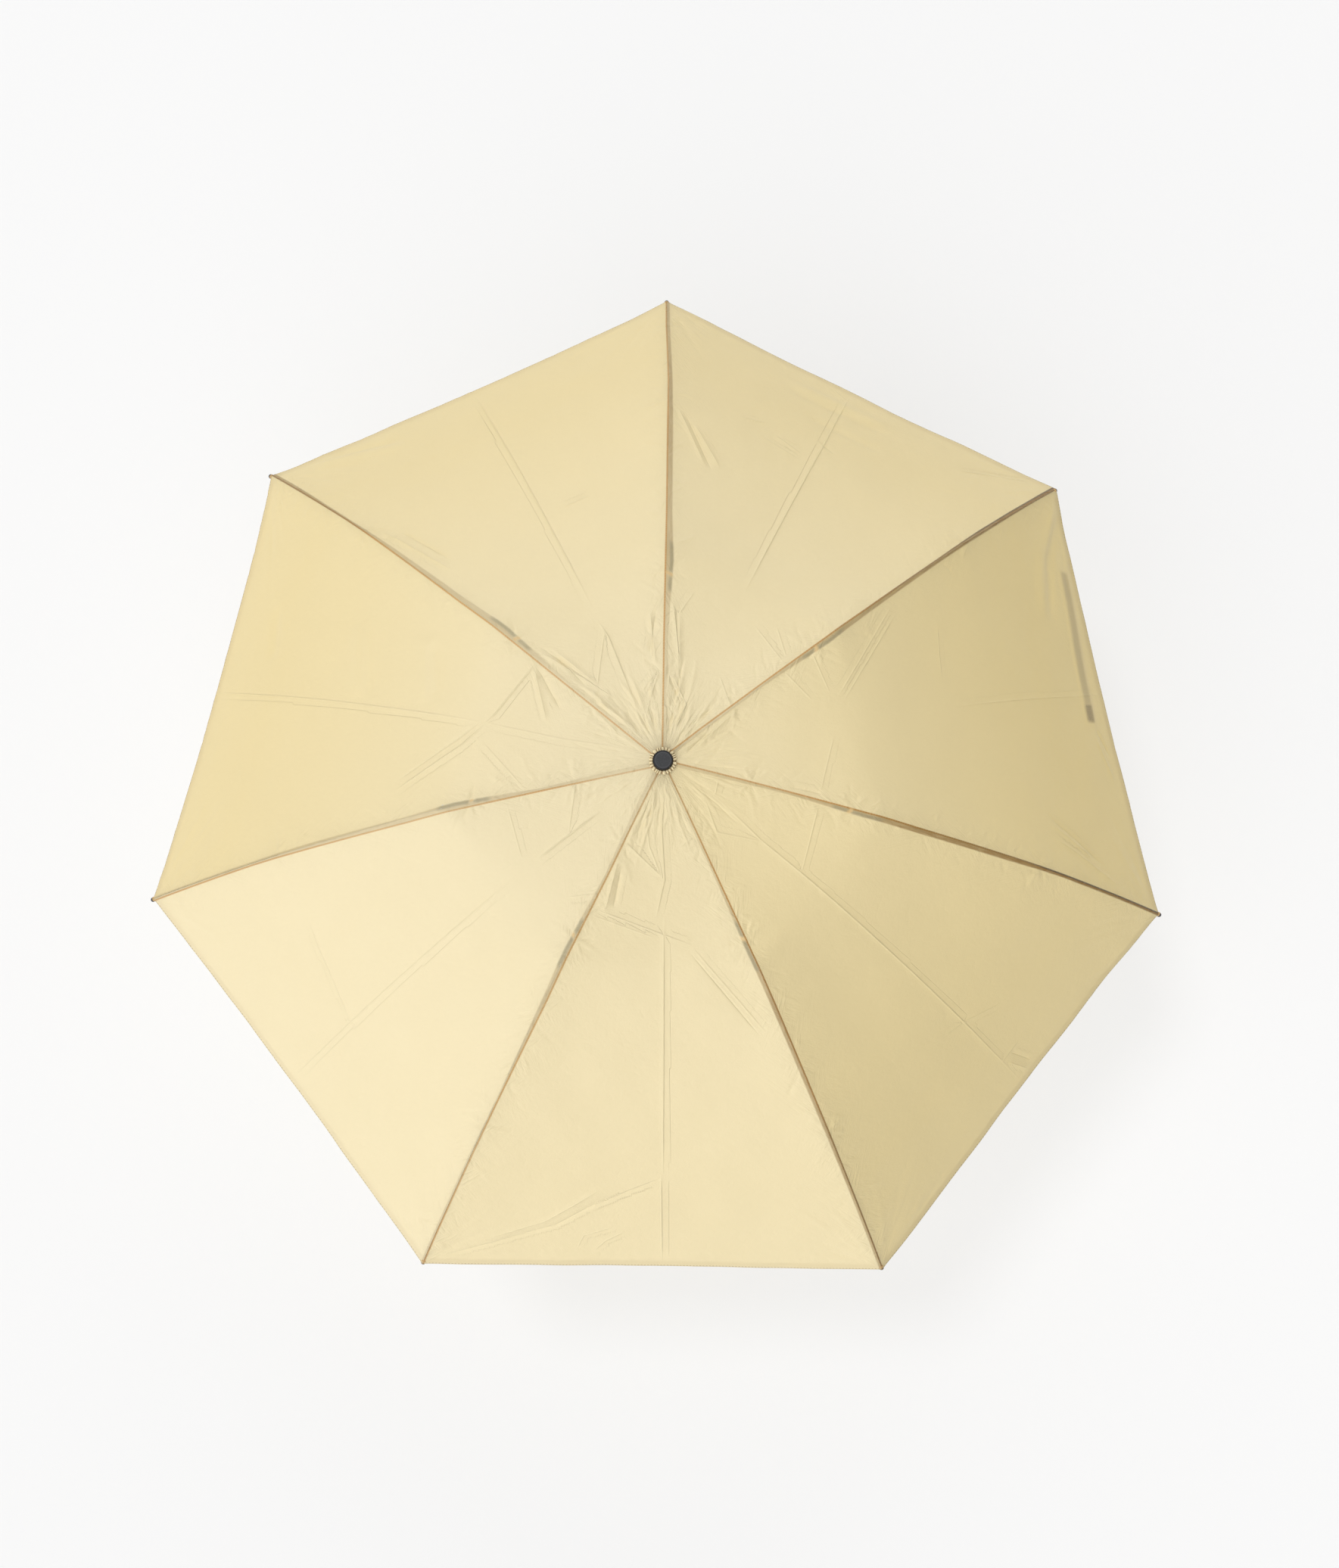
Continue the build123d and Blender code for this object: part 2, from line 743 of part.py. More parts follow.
# ---------------------------------------------------------------- soft parts
def fabric_line(down):
    """The canopy's section in a rib's plane, a distance below its outer face: its five corners."""
    over = [
        (crown_hole, crown_above + soft_gap + canopy_thickness),
        (canopy_over_crown, crown_above + soft_gap + canopy_thickness),
        plus(opened.first, turned((0, canopy_over_first_fold - first_fold_rise), first_lean)),
        plus(opened.outer_start, turned((0, canopy_over_second_fold), second_lean)),
        plus(
            opened.tip,
            turned((-canopy_short_of_tip, canopy_over_tip), outer_rib_slope),
        ),
    ]
    leans = [0, 0, first_lean, second_lean, outer_rib_slope]
    return [plus(p, turned((0, -down), lean)) for p, lean in zip(over, leans)]


crown_hole = (crown_stem_radius + soft_gap) / cos(pi / RIB_COUNT)
first_lean = (top_rib_slope + middle_rib_slope) / 2
second_lean = (middle_rib_slope + outer_rib_slope) / 2


def fabric_edges(points):
    """Straight over the crown, then an arc over each rib section."""
    bows = (top_rib_bow, middle_rib_bow, outer_rib_bow)
    edges = [Line(points[0], points[1])]
    for a, b, bow in zip(points[1:], points[2:], bows):
        rise = turned((0, bow), heading(a, b))
        middle = plus(((a[0] + b[0]) / 2, (a[1] + b[1]) / 2), rise)
        edges.append(ThreePointArc(a, middle, b))
    return edges


def canopy():
    """Seven gores, each ruled between the fabric's sections over two neighbouring ribs, as one."""
    outer, inner = fabric_line(0), fabric_line(canopy_thickness)
    edges = fabric_edges(outer) + [Line(outer[-1], inner[-1])]
    edges += fabric_edges(inner) + [Line(inner[0], outer[0])]
    outline = make_face(edges)
    gores = []
    for n in range(RIB_COUNT):
        sections = []
        for rib in (n + 1, n + 2):
            a = radians(azimuth(rib))
            upright = Plane(origin=(0, 0, crown_z), x_dir=(cos(a), sin(a), 0), z_dir=(sin(a), -cos(a), 0))
            sections.append(upright * outline)
        gores.append(loft(sections, ruled=True))
    return gores[0] + gores[1:]


def on_bow(a, b, bow, share):
    """Point and slope, in degrees, on the arc that rises by bow over a to b, at a share of it."""
    chord = distance(a, b)
    arc_radius = (chord**2 / 4 + bow**2) / (2 * bow)
    x = (share - 0.5) * chord
    rise = sqrt(arc_radius**2 - x**2) - arc_radius + bow
    lean = heading(a, b)
    return plus(a, turned((share * chord, rise), lean)), lean - degrees(asin(x / arc_radius))


def tie_strap():
    """Strap laid near the rim under the panel between ribs 2 and 3, its patch towards rib 3 and inward."""
    fold, hem = fabric_line(canopy_thickness)[-2:]
    inward = strap_from_hem + strap_width / 2
    point, slope = on_bow(fold, hem, outer_rib_bow, 1 - inward / distance(fold, hem))
    narrowing = cos(pi / RIB_COUNT)
    lean = degrees(atan2(sin(radians(slope)), cos(radians(slope)) * narrowing))
    body = Box(strap_width, strap_length, strap_thickness)
    patch_x = strap_width - 2
    patch_y = strap_patch_length - 2
    low = -(strap_thickness + strap_patch_thickness) / 2
    body += Pos(0, (patch_y - strap_length) / 2 + 1, low) * Box(patch_x, patch_y, strap_patch_thickness)
    panel_width = 2 * point[0] * sin(pi / RIB_COUNT)
    along = (0.5 - strap_centre_share) * panel_width
    seat = Pos(point[0] * narrowing, along, crown_z + point[1]) * Rot(0, -lean, 0)
    below = Pos(0, 0, -soft_gap - strap_thickness / 2) * Rot(0, 0, -strap_slant)
    return Rot(0, 0, azimuth(2.5)) * seat * below * body


# ---------------------------------------------------------------- output
def build():
    """Every node's shape, by name."""
    rib_pieces = {
        "top_rib": placed(top_rib(), opened.crown, opened.top),
        "stretcher": placed(stretcher(), opened.knee, opened.stretcher),
        "link_rib": placed(link_rib(), opened.link_start, opened.link),
        "middle_rib": placed(middle_rib(), opened.middle_start, opened.middle),
        "outer_rib": placed(outer_rib(), opened.outer_start, opened.outer),
        "control_wire": placed(control_wire(), opened.anchor, opened.control),
    }
    shapes = {
        f"{name}_{n + 1}": Rot(0, 0, azimuth(n + 1)) * piece
        for name, piece in rib_pieces.items()
        for n in range(RIB_COUNT)
    }
    shapes.update(
        {
            "handle_grip": handle_grip(),
            "handle_end_cap": handle_end_cap(),
            "lower_tube": lower_tube(),
            "middle_tube": middle_tube(),
            "upper_tube": upper_tube(),
            "lower_tube_snap": snap_spring(lower_tube_radius, lower_tube_top, middle_tube_radius),
            "middle_tube_snap": snap_spring(middle_tube_radius, middle_tube_top, upper_tube_radius),
            "crown": crown(),
            "crown_wire": wire_ring(crown_pivot_radius, crown_wire_radius, crown_z),
            "top_cap": top_cap(),
            "canopy_collar": canopy_collar(),
            "runner": runner(),
            "runner_wire": wire_ring(runner_pivot_radius, runner_wire_radius, runner_z),
            "runner_button": runner_button(),
            "runner_catch": runner_catch(),
            "canopy": canopy(),
            "tie_strap": tie_strap(),
        }
    )
    return shapes


def main():
    os.makedirs("parts", exist_ok=True)
    for name, shape in build().items():
        export_step(shape, f"parts/{name}.step")


if __name__ == "__main__":
    main()
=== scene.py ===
import json
import math
import bpy
import numpy as np
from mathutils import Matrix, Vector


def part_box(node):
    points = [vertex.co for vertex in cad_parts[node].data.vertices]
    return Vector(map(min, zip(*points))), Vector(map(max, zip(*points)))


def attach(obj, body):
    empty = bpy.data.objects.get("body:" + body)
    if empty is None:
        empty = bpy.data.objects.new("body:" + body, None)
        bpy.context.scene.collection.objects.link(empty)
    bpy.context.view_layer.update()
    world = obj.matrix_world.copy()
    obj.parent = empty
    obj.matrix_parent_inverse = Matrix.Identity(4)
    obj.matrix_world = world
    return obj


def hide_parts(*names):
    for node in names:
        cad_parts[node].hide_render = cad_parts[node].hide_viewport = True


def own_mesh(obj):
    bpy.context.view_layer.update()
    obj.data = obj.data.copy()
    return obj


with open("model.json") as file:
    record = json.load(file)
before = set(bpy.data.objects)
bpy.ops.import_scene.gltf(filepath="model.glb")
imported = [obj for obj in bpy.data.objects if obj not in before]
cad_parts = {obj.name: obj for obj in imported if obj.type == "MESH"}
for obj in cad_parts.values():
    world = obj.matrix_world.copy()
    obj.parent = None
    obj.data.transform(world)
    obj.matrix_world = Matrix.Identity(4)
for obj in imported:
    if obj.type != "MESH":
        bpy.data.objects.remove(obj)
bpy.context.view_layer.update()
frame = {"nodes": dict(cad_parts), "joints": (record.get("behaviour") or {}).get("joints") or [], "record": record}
joints = {joint["name"]: joint for joint in frame["joints"]}

# Folding umbrella, opened and standing on its handle, seen from almost straight above. Metres.
# Rib 1 points along +Y and the others follow clockwise. Panel 1 lies between ribs 1 and 2, and so on.
# A place on the cloth is (along, share): along is the distance from the middle in millimetres,
# measured over a rib, and share is 0 at the panel's first rib and 1 at the next rib clockwise.

RIB_COUNT = 7
MM = 0.001

# ---------------------------------------------------------------- the cloth's section, as in the solid
TOP_SLOPE, MIDDLE_SLOPE, OUTER_SLOPE = -2.4, -25.8, -41.0  # degrees, of the three rib sections
BOWS = (1.9 * MM, 4.0 * MM, 4.0 * MM)
HOLE_RADIUS = 5.88 * MM
CROWN_EDGE = 14.0 * MM
OVER_CROWN = 3.3 * MM
OVER_FIRST_FOLD = 2.5 * MM
OUTER_ABOVE_PIN = 2.2 * MM
OVER_SECOND_FOLD = 3.4 * MM
OVER_TIP = 3.2 * MM
SHORT_OF_TIP = 5.0 * MM
TIP_BALL = 2.2 * MM
PAST_HEM = 10 * MM  # how far the section is carried on past the solid's hem


def azimuth(rib):
    return math.radians(90 - (rib - 1) * 360 / RIB_COUNT)


def outward(rib):
    """Horizontal unit vector along a rib."""
    return np.array([math.cos(azimuth(rib)), math.sin(azimuth(rib)), 0.0])


def turned(across, up, degrees):
    """A step across and up in a rib's plane, turned by an angle."""
    c, s = math.cos(math.radians(degrees)), math.sin(math.radians(degrees))
    return np.array([c * across - s * up, s * across + c * up])


def in_rib_plane(joint):
    """(radius, height) of a rib's pivot."""
    x, y, z = joints[joint]["pos_m"]
    return np.array([math.hypot(x, y), z])


def tip_centre():
    """(radius, height) of the middle of the ball at a rib's tip."""
    low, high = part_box("outer_rib_1")
    return np.array([high.y - TIP_BALL, low.z + TIP_BALL])


def section_corners():
    """(radius, height) of the cloth over a rib: hole, crown's edge, first fold, second fold, hem."""
    height = in_rib_plane("crown_pivot_1")[1] + OVER_CROWN
    first = in_rib_plane("first_fold_1")
    first += turned(0, OVER_FIRST_FOLD, (TOP_SLOPE + MIDDLE_SLOPE) / 2)
    second = in_rib_plane("second_fold_1") + turned(0, OUTER_ABOVE_PIN, OUTER_SLOPE)
    second += turned(0, OVER_SECOND_FOLD, (MIDDLE_SLOPE + OUTER_SLOPE) / 2)
    hem = tip_centre() + turned(-SHORT_OF_TIP, OVER_TIP, OUTER_SLOPE)
    return [np.array([HOLE_RADIUS, height]), np.array([CROWN_EDGE, height]), first, second, hem]


def arc(start, end, bow, count):
    """Points along the arc that rises by bow over the chord from start to end."""
    chord = end - start
    length = np.linalg.norm(chord)
    radius = (length**2 / 4 + bow**2) / (2 * bow)
    half = math.asin(length / 2 / radius)
    angles = np.linspace(-half, half, count)
    unit = chord / length
    up = np.array([-unit[1], unit[0]])
    run = length / 2 + radius * np.sin(angles)
    rise = radius * np.cos(angles) - radius + bow
    return start + np.outer(run, unit) + np.outer(rise, up)


class Section:
    """The cloth's line over a rib by distance along it, and the same line eased as between ribs."""

    def __init__(self):
        corners = section_corners()
        points = [corners[0][None]]
        for start, end, bow in zip(corners[1:], corners[2:], BOWS):
            points.append(arc(start, end, bow, 60))
        line = np.concatenate(points)
        steps = np.linalg.norm(np.diff(line, axis=0), axis=1)
        distance = np.concatenate([[0], np.cumsum(steps)]) + HOLE_RADIUS
        keep = np.concatenate([[True], steps > 1e-9])
        self.distance, self.line = distance[keep], line[keep]
        self.ends = [HOLE_RADIUS]
        for corner in corners[2:]:
            nearest = np.argmin(np.linalg.norm(self.line - corner, axis=1))
            self.ends.append(self.distance[nearest])

    def eased(self, spread):
        """The line with its corners rounded over a distance, its ends carried on straight."""
        step = 1.0 * MM
        margin = 4 * spread
        fine = np.arange(self.distance[0] - margin, self.distance[-1] + margin + PAST_HEM, step)
        values = []
        for k in (0, 1):
            value = np.interp(fine, self.distance, self.line[:, k])
            for end, inner in ((0, 1), (-1, -6)):
                slope = (self.line[end, k] - self.line[inner, k]) / (
                    self.distance[end] - self.distance[inner]
                )
                beyond = fine < self.distance[0] if end == 0 else fine > self.distance[-1]
                value[beyond] = self.line[end, k] + slope * (fine[beyond] - self.distance[end])
            window = np.exp(-0.5 * (np.arange(-margin, margin + step / 2, step) / spread) ** 2)
            values.append(np.convolve(value, window / window.sum(), mode="same"))
        inside = (fine > self.distance[0] - 2 * step) & (fine < self.distance[-1] + PAST_HEM)
        return lambda along: np.stack(
            [np.interp(along, fine[inside], value[inside]) for value in values], axis=-1
        )


section = Section()
over_rib = section.eased(3 * MM)
between_ribs = section.eased(26 * MM)
HEM = section.ends[3] / MM


def panel_width(along):
    """Width across a panel, in millimetres, at distances along in millimetres."""
    radius = np.interp(along, section.distance / MM, section.line[:, 0] / MM)
    return 2 * radius * math.sin(math.pi / RIB_COUNT)


def span(value, start, end, soft):
    """1 between start and end, 0 outside, with soft edges."""
    return np.clip((value - start) / soft + 0.5, 0, 1) * np.clip((end - value) / soft + 0.5, 0, 1)


# ---------------------------------------------------------------- wrinkles
def place(along, share):
    """A place on a panel as flat millimetres (along, across from the panel's middle)."""
    return np.array([along, (share - 0.5) * panel_width(along)])


# Each kind of mark: height and width of its swell in the cloth, then the height of its sharp pressed line.
KINDS = {
    "pressed": (0.30, 2.2, 0.52),
    "faint": (0.12, 2.0, 0.32),
    "dent": (-0.22, 1.9, -0.42),
    "fold": (0.85, 2.3, 0.3),
    "hollow": (-0.85, 2.2, -0.32),
    "swell": (1.6, 9.0, 0.0),
    "trough": (-1.4, 7.0, 0.0),
}

# The marks on each panel, and the places (along, share) that each runs through.
MARKS = {
    1: (
        ("pressed", (183, 0.48), (420, 0.485), (547, 0.48)),
        ("dent", (415, 0.52), (420, 0.48)),
        ("pressed", (30, 0.39), (59, 0.42), (78, 0.13)),
        ("faint", (99, 0.62), (77, 0.96)),
        ("hollow", (58, 0.33), (80, 0.05)),
        ("fold", (67, 0.27), (137, 0.12)),
        ("hollow", (76, 0.24), (141, 0.09)),
        ("fold", (87, 0.21), (146, 0.06)),
        ("faint", (137, 0.02), (137, 0.12), (163, 0.20)),
        ("faint", (160, 0.62), (138, 0.96)),
        ("faint", (167, 0.75), (145, 0.93)),
        ("fold", (363, 0.04), (307, 0.15)),
        ("hollow", (358, 0.07), (305, 0.18)),
        ("fold", (352, 0.10), (312, 0.21)),
        ("faint", (387, 0.31), (380, 0.44)),
        ("faint", (400, 0.35), (390, 0.44)),
        ("faint", (400, 0.24), (413, 0.32)),
        ("trough", (460, 0.40), (460, 0.63)),
        ("trough", (495, 0.33), (501, 0.62)),
        ("swell", (509, 0.34), (514, 0.60)),
        ("pressed", (492, 0.80), (520, 0.88), (548, 0.96)),
        ("faint", (539, 0.44), (527, 0.48)),
    ),
    2: (
        ("hollow", (24, 0.36), (50, 0.10)),
        ("fold", (36, 0.30), (80, 0.05)),
        ("faint", (133, 0.03), (153, 0.30)),
        ("faint", (163, 0.03), (172, 0.30)),
        ("faint", (167, 0.55), (141, 0.94)),
        ("hollow", (113, 0.95), (143, 0.95)),
        ("faint", (177, 0.35), (260, 0.05)),
        ("faint", (182, 0.38), (262, 0.09)),
        ("faint", (310, 0.20), (301, 0.39)),
        ("faint", (300, 0.49), (547, 0.49)),
        ("swell", (545, 0.03), (492, 0.13), (470, 0.29)),
        ("trough", (548, 0.06), (506, 0.15), (484, 0.30)),
        ("fold", (400, 0.85), (453, 0.92)),
        ("hollow", (395, 0.82), (470, 0.93)),
        ("fold", (400, 0.89), (487, 0.97)),
        ("hollow", (518, 0.57), (535, 0.64)),
        ("fold", (515, 0.60), (530, 0.70)),
    ),
    3: (
        ("pressed", (57, 0.39), (120, 0.49), (280, 0.49), (420, 0.49), (543, 0.49)),
        ("faint", (53, 0.54), (83, 0.75), (120, 0.50)),
        ("faint", (53, 0.14), (60, 0.42)),
        ("faint", (141, 0.04), (170, 0.49)),
        ("faint", (443, 0.39), (420, 0.49)),
        ("faint", (412, 0.55), (420, 0.49)),
        ("hollow", (503, 0.46), (535, 0.44)),
        ("faint", (501, 0.43), (501, 0.49)),
        ("fold", (510, 0.48), (540, 0.46)),
    ),
    4: (
        ("pressed", (27, 0.44), (67, 0.50), (113, 0.47), (150, 0.53)),
        ("pressed", (150, 0.47), (170, 0.48), (430, 0.48)),
        ("pressed", (426, 0.485), (548, 0.48)),
        ("faint", (63, 0.74), (83, 0.64), (110, 0.50)),
        ("pressed", (79, 0.94), (110, 0.50)),
        ("faint", (73, 0.08), (83, 0.27)),
        ("pressed", (143, 0.93), (163, 0.52), (175, 0.32)),
        ("faint", (148, 0.95), (168, 0.54)),
        ("fold", (98, 0.94), (143, 0.88)),
        ("hollow", (104, 0.88), (140, 0.83)),
        ("faint", (177, 0.32), (262, 0.08)),
        ("dent", (181, 0.34), (264, 0.11)),
        ("dent", (430, 0.48), (447, 0.56), (473, 0.66)),
        ("hollow", (452, 0.60), (497, 0.73), (520, 0.85), (543, 0.96)),
        ("fold", (448, 0.64), (492, 0.76), (514, 0.87)),
        ("faint", (500, 0.60), (512, 0.66), (530, 0.67)),
        ("faint", (506, 0.57), (520, 0.61), (534, 0.63)),
    ),
    5: (
        ("pressed", (77, 0.48), (153, 0.49)),
        ("faint", (167, 0.49), (547, 0.49)),
        ("faint", (79, 0.94), (113, 0.50)),
        ("faint", (142, 0.93), (163, 0.55)),
        ("faint", (130, 0.02), (150, 0.17)),
        ("faint", (425, 0.49), (399, 0.71), (387, 0.79)),
    ),
    6: (
        ("faint", (20, 0.58), (53, 0.54), (97, 0.48), (173, 0.48)),
        ("pressed", (173, 0.48), (333, 0.48), (547, 0.48)),
        ("faint", (123, 0.03), (173, 0.37)),
        ("fold", (47, 0.83), (73, 0.95)),
        ("hollow", (107, 0.75), (138, 0.95)),
        ("fold", (117, 0.60), (141, 0.93)),
        ("pressed", (141, 0.96), (167, 0.55), (175, 0.47)),
        ("pressed", (175, 0.47), (193, 0.34), (250, 0.14)),
        ("dent", (179, 0.49), (196, 0.38), (252, 0.18)),
        ("trough", (232, 0.53), (252, 0.78)),
        ("swell", (244, 0.52), (262, 0.80)),
        ("trough", (307, 0.50), (333, 0.76)),
        ("swell", (322, 0.50), (345, 0.74)),
        ("trough", (460, 0.57), (475, 0.71)),
    ),
    7: (
        ("pressed", (163, 0.51), (533, 0.50)),
        ("pressed", (70, 0.50), (132, 0.53), (150, 0.51)),
        ("faint", (90, 0.18), (139, 0.52)),
        ("faint", (40, 0.50), (60, 0.75), (81, 0.93)),
        ("faint", (70, 0.66), (83, 0.93)),
        ("fold", (45, 0.18), (80, 0.08)),
        ("fold", (73, 0.29), (147, 0.06)),
        ("hollow", (80, 0.25), (150, 0.09)),
        ("fold", (93, 0.22), (143, 0.14)),
        ("hollow", (100, 0.12), (135, 0.12)),
        ("fold", (87, 0.90), (137, 0.88)),
        ("hollow", (100, 0.84), (137, 0.93)),
        ("fold", (270, 0.09), (360, 0.04)),
        ("hollow", (285, 0.12), (350, 0.08)),
        ("faint", (290, 0.58), (290, 0.69)),
        ("swell", (530, 0.08), (493, 0.29)),
        ("trough", (540, 0.12), (506, 0.30)),
    ),
}
GATHER_STRENGTH = {1: 1.0, 2: 0.55, 3: 0.6, 4: 0.9, 5: 0.4, 6: 0.55, 7: 1.0}
TIES = (78.0, 168.0, 366.0)  # where thread pulls the cloth to each rib, along it
FAR = 6.0  # the distance from a pressed line at which it is no longer drawn

# The tie strap under the cloth: its middle lies inside the hem at a share of its panel, and it leans.
STRAP_PANEL = 2
STRAP_LENGTH = 150.0
STRAP_WIDTH = 14.0
STRAP_SEEN = 12.0  # the width of its painted shadow through the cloth
PATCH_LENGTH = 17.0
STRAP_FROM_HEM = 31.0
STRAP_SHARE = 0.37
STRAP_LEAN = math.radians(6)
STRAP_SWELL = 0.7  # how far it lifts the cloth


def on_strap(along, across):
    """Places in the strap's own millimetres: along it from its middle towards rib 3, and across it."""
    middle = place(HEM - STRAP_FROM_HEM, STRAP_SHARE)
    away_along, away_across = along - middle[0], across - middle[1]
    c, s = math.cos(STRAP_LEAN), math.sin(STRAP_LEAN)
    return away_across * c - away_along * s, away_across * s + away_along * c


class Relief:
    """One panel's wrinkles in millimetres: their height, and the pressed lines' distance and height."""

    def __init__(self, flat, panel):
        self.flat = flat
        self.height = np.zeros(flat.shape[:2])
        self.from_line = np.full(flat.shape[:2], FAR)
        self.line_height = np.zeros(flat.shape[:2])
        self.row_starts, self.row_stops = flat[:, :, 0].min(axis=1), flat[:, :, 0].max(axis=1)
        draw = np.random.RandomState(40 + panel)
        self.undulation(60 + panel, 7, 34, 120, 0.5)
        self.undulation(80 + panel, 9, 9, 26, 0.05)
        self.gathers(draw, GATHER_STRENGTH[panel])
        self.seam_wrinkles(draw)
        self.tie_puckers(draw)
        self.tip_tension(draw)
        self.hem_puckers(draw)
        for kind, *places in MARKS[panel]:
            self.mark(kind, [place(*where) for where in places])

    def rest_on_strap(self):
        """Where the strap lies under the cloth, the cloth can't hang lower than its top."""
        run, side = on_strap(self.flat[:, :, 0], self.flat[:, :, 1])
        half = STRAP_LENGTH / 2 + 4
        over = span(run, -half, half, 8) * span(side, -9, 9, 6)
        self.height = np.maximum(self.height, -0.5 * over - FAR * (1 - over)) + STRAP_SWELL * over

    def rows_near(self, start, end, reach):
        """The rows that pass within reach of a line from start to end."""
        low, high = sorted((start[0], end[0]))
        first = np.searchsorted(self.row_stops, low - reach)
        last = np.searchsorted(self.row_starts, high + reach)
        return slice(first, last)

    def undulation(self, seed, count, shortest, longest, height):
        """Soft unevenness: waves of several lengths and directions."""
        draw = np.random.RandomState(seed)
        for _ in range(count):
            wave = draw.uniform(shortest, longest)
            turn = draw.uniform(0, math.pi)
            direction = np.array([math.cos(turn), math.sin(turn)]) * 2 * math.pi / wave
            phase = draw.uniform(0, 2 * math.pi)
            ripple = np.sin(self.flat @ direction + phase)
            self.height += ripple * wave / longest * height / math.sqrt(count)

    def crease(self, start, end, height, width, bend=0.0, sway=0.0):
        """A ridge (height above 0) or furrow from start to end, fading at both ends."""
        rows = self.rows_near(start, end, 3 * width + abs(bend) + sway)
        run = end - start
        length = np.linalg.norm(run)
        unit = run / length
        away = self.flat[rows] - start
        share = np.clip((away @ unit) / length, 0, 1)
        side = away @ np.array([-unit[1], unit[0]]) - bend * 4 * share * (1 - share)
        side -= sway * np.sin(length / 5 + 9 * share)
        beyond = away @ unit - share * length
        bell = np.exp(-(side**2 + beyond**2) / width**2)
        self.height[rows] += height * np.minimum(1, 5 * share * (1 - share)) * bell

    def mark(self, kind, places):
        """A mark through several places, which fades at its two ends only."""
        height, width, line = KINDS[kind]
        steps = [np.linalg.norm(b - a) for a, b in zip(places, places[1:])]
        done = 0.0
        swell = np.zeros_like(self.height)
        for start, end, length in zip(places, places[1:], steps):
            rows = self.rows_near(start, end, max(3 * width, FAR))
            unit = (end - start) / length
            away = self.flat[rows] - start
            run = np.clip(away @ unit, 0, length)
            side = away @ np.array([-unit[1], unit[0]])
            apart = np.hypot(side, away @ unit - run)
            share = (done + run) / sum(steps)
            fade = np.minimum(1, 7 * share * (1 - share))
            bell = np.exp(-((apart / width) ** 2)) * fade
            swell[rows] = np.maximum(swell[rows], bell)
            nearer = apart < np.abs(self.from_line[rows])
            if line:
                signed = np.where(side < 0, -apart, apart)
                self.from_line[rows] = np.where(nearer, signed, self.from_line[rows])
                self.line_height[rows] = np.where(nearer, line * fade, self.line_height[rows])
            done += length
        self.height += height * swell

    def gathers(self, draw, strength):
        """Folds that run out from the cap, no two alike."""
        for _ in range(34):
            share = draw.uniform(0.03, 0.97)
            inner = draw.uniform(12, 45)
            length = draw.uniform(14, 75) * (0.6 + strength * 0.4)
            end = np.clip(share + draw.uniform(-0.13, 0.13), 0.04, 0.96)
            self.crease(
                place(inner, share),
                place(inner + length, end),
                draw.uniform(0.15, 0.75) * strength * draw.choice([-1, 1]),
                draw.uniform(0.9, 2.3),
                bend=draw.uniform(-4, 4),
                sway=draw.uniform(0, 0.9),
            )

    def seam_wrinkles(self, draw):
        """Short oblique wrinkles that start at the ribs."""
        for _ in range(120):
            first_side = draw.uniform() < 0.5
            along = draw.uniform(30, HEM - 30)
            length = draw.uniform(6, 32)
            turn = math.radians(draw.uniform(12, 60)) * draw.choice([-1, 1])
            inward = 1 if first_side else -1
            lean = math.pi / RIB_COUNT * inward
            direction = np.array([math.cos(turn + lean), abs(math.sin(turn)) * inward])
            start = place(along, 0.0 if first_side else 1.0) + np.array([0, 4.0 * inward])
            height = draw.uniform(0.1, 0.42) * draw.choice([-1, 1])
            self.crease(
                start,
                start + direction * length,
                height,
                draw.uniform(0.8, 1.9),
                bend=draw.uniform(-3, 3),
                sway=draw.uniform(0, 0.7),
            )

    def tie_puckers(self, draw):
        """Short folds that run out from where thread ties the cloth to a rib."""
        for along in TIES:
            for share, inward in ((0.0, 1), (1.0, -1)):
                centre = place(along, share)
                for n in range(6):
                    turn = math.radians(-65 + 26 * n + draw.uniform(-8, 8))
                    direction = np.array([math.sin(turn), math.cos(turn) * inward])
                    height = draw.uniform(0.3, 0.7) * draw.choice([-1, 1])
                    end = centre + direction * draw.uniform(9, 24)
                    self.crease(centre + 1.5 * direction, end, height, draw.uniform(1.0, 1.8))

    def tip_tension(self, draw):
        """Long shallow folds that fan out from the two tips."""
        for share, inward in ((0.0, 1), (1.0, -1)):
            corner = place(HEM, share)
            for n in range(8):
                turn = math.radians(4 + 9 * n + draw.uniform(-4, 4)) + math.pi / RIB_COUNT
                direction = np.array([-math.cos(turn), math.sin(turn) * inward])
                start = draw.uniform(8, 24)
                end = start + draw.uniform(40, 130)
                height = draw.uniform(0.15, 0.45) * draw.choice([-1, 1])
                self.crease(
                    corner + start * direction,
                    corner + end * direction,
                    height,
                    draw.uniform(1.8, 4.0),
                    bend=draw.uniform(-5, 5),
                )

    def hem_puckers(self, draw):
        """Small folds across the stitched hem."""
        for _ in range(44):
            start = place(HEM, draw.uniform(0.04, 0.96))
            length = draw.uniform(9, 26)
            end = start + np.array([-length, draw.uniform(-0.5, 0.5) * length])
            height = draw.uniform(0.05, 0.22) * draw.choice([-1, 1])
            self.crease(start, end, height, draw.uniform(1.2, 2.6))


# ---------------------------------------------------------------- the canopy
ROWS = (120, 108, 80)  # of points, in each of a panel's three pieces from the cap to the rim
SAG = 3.2
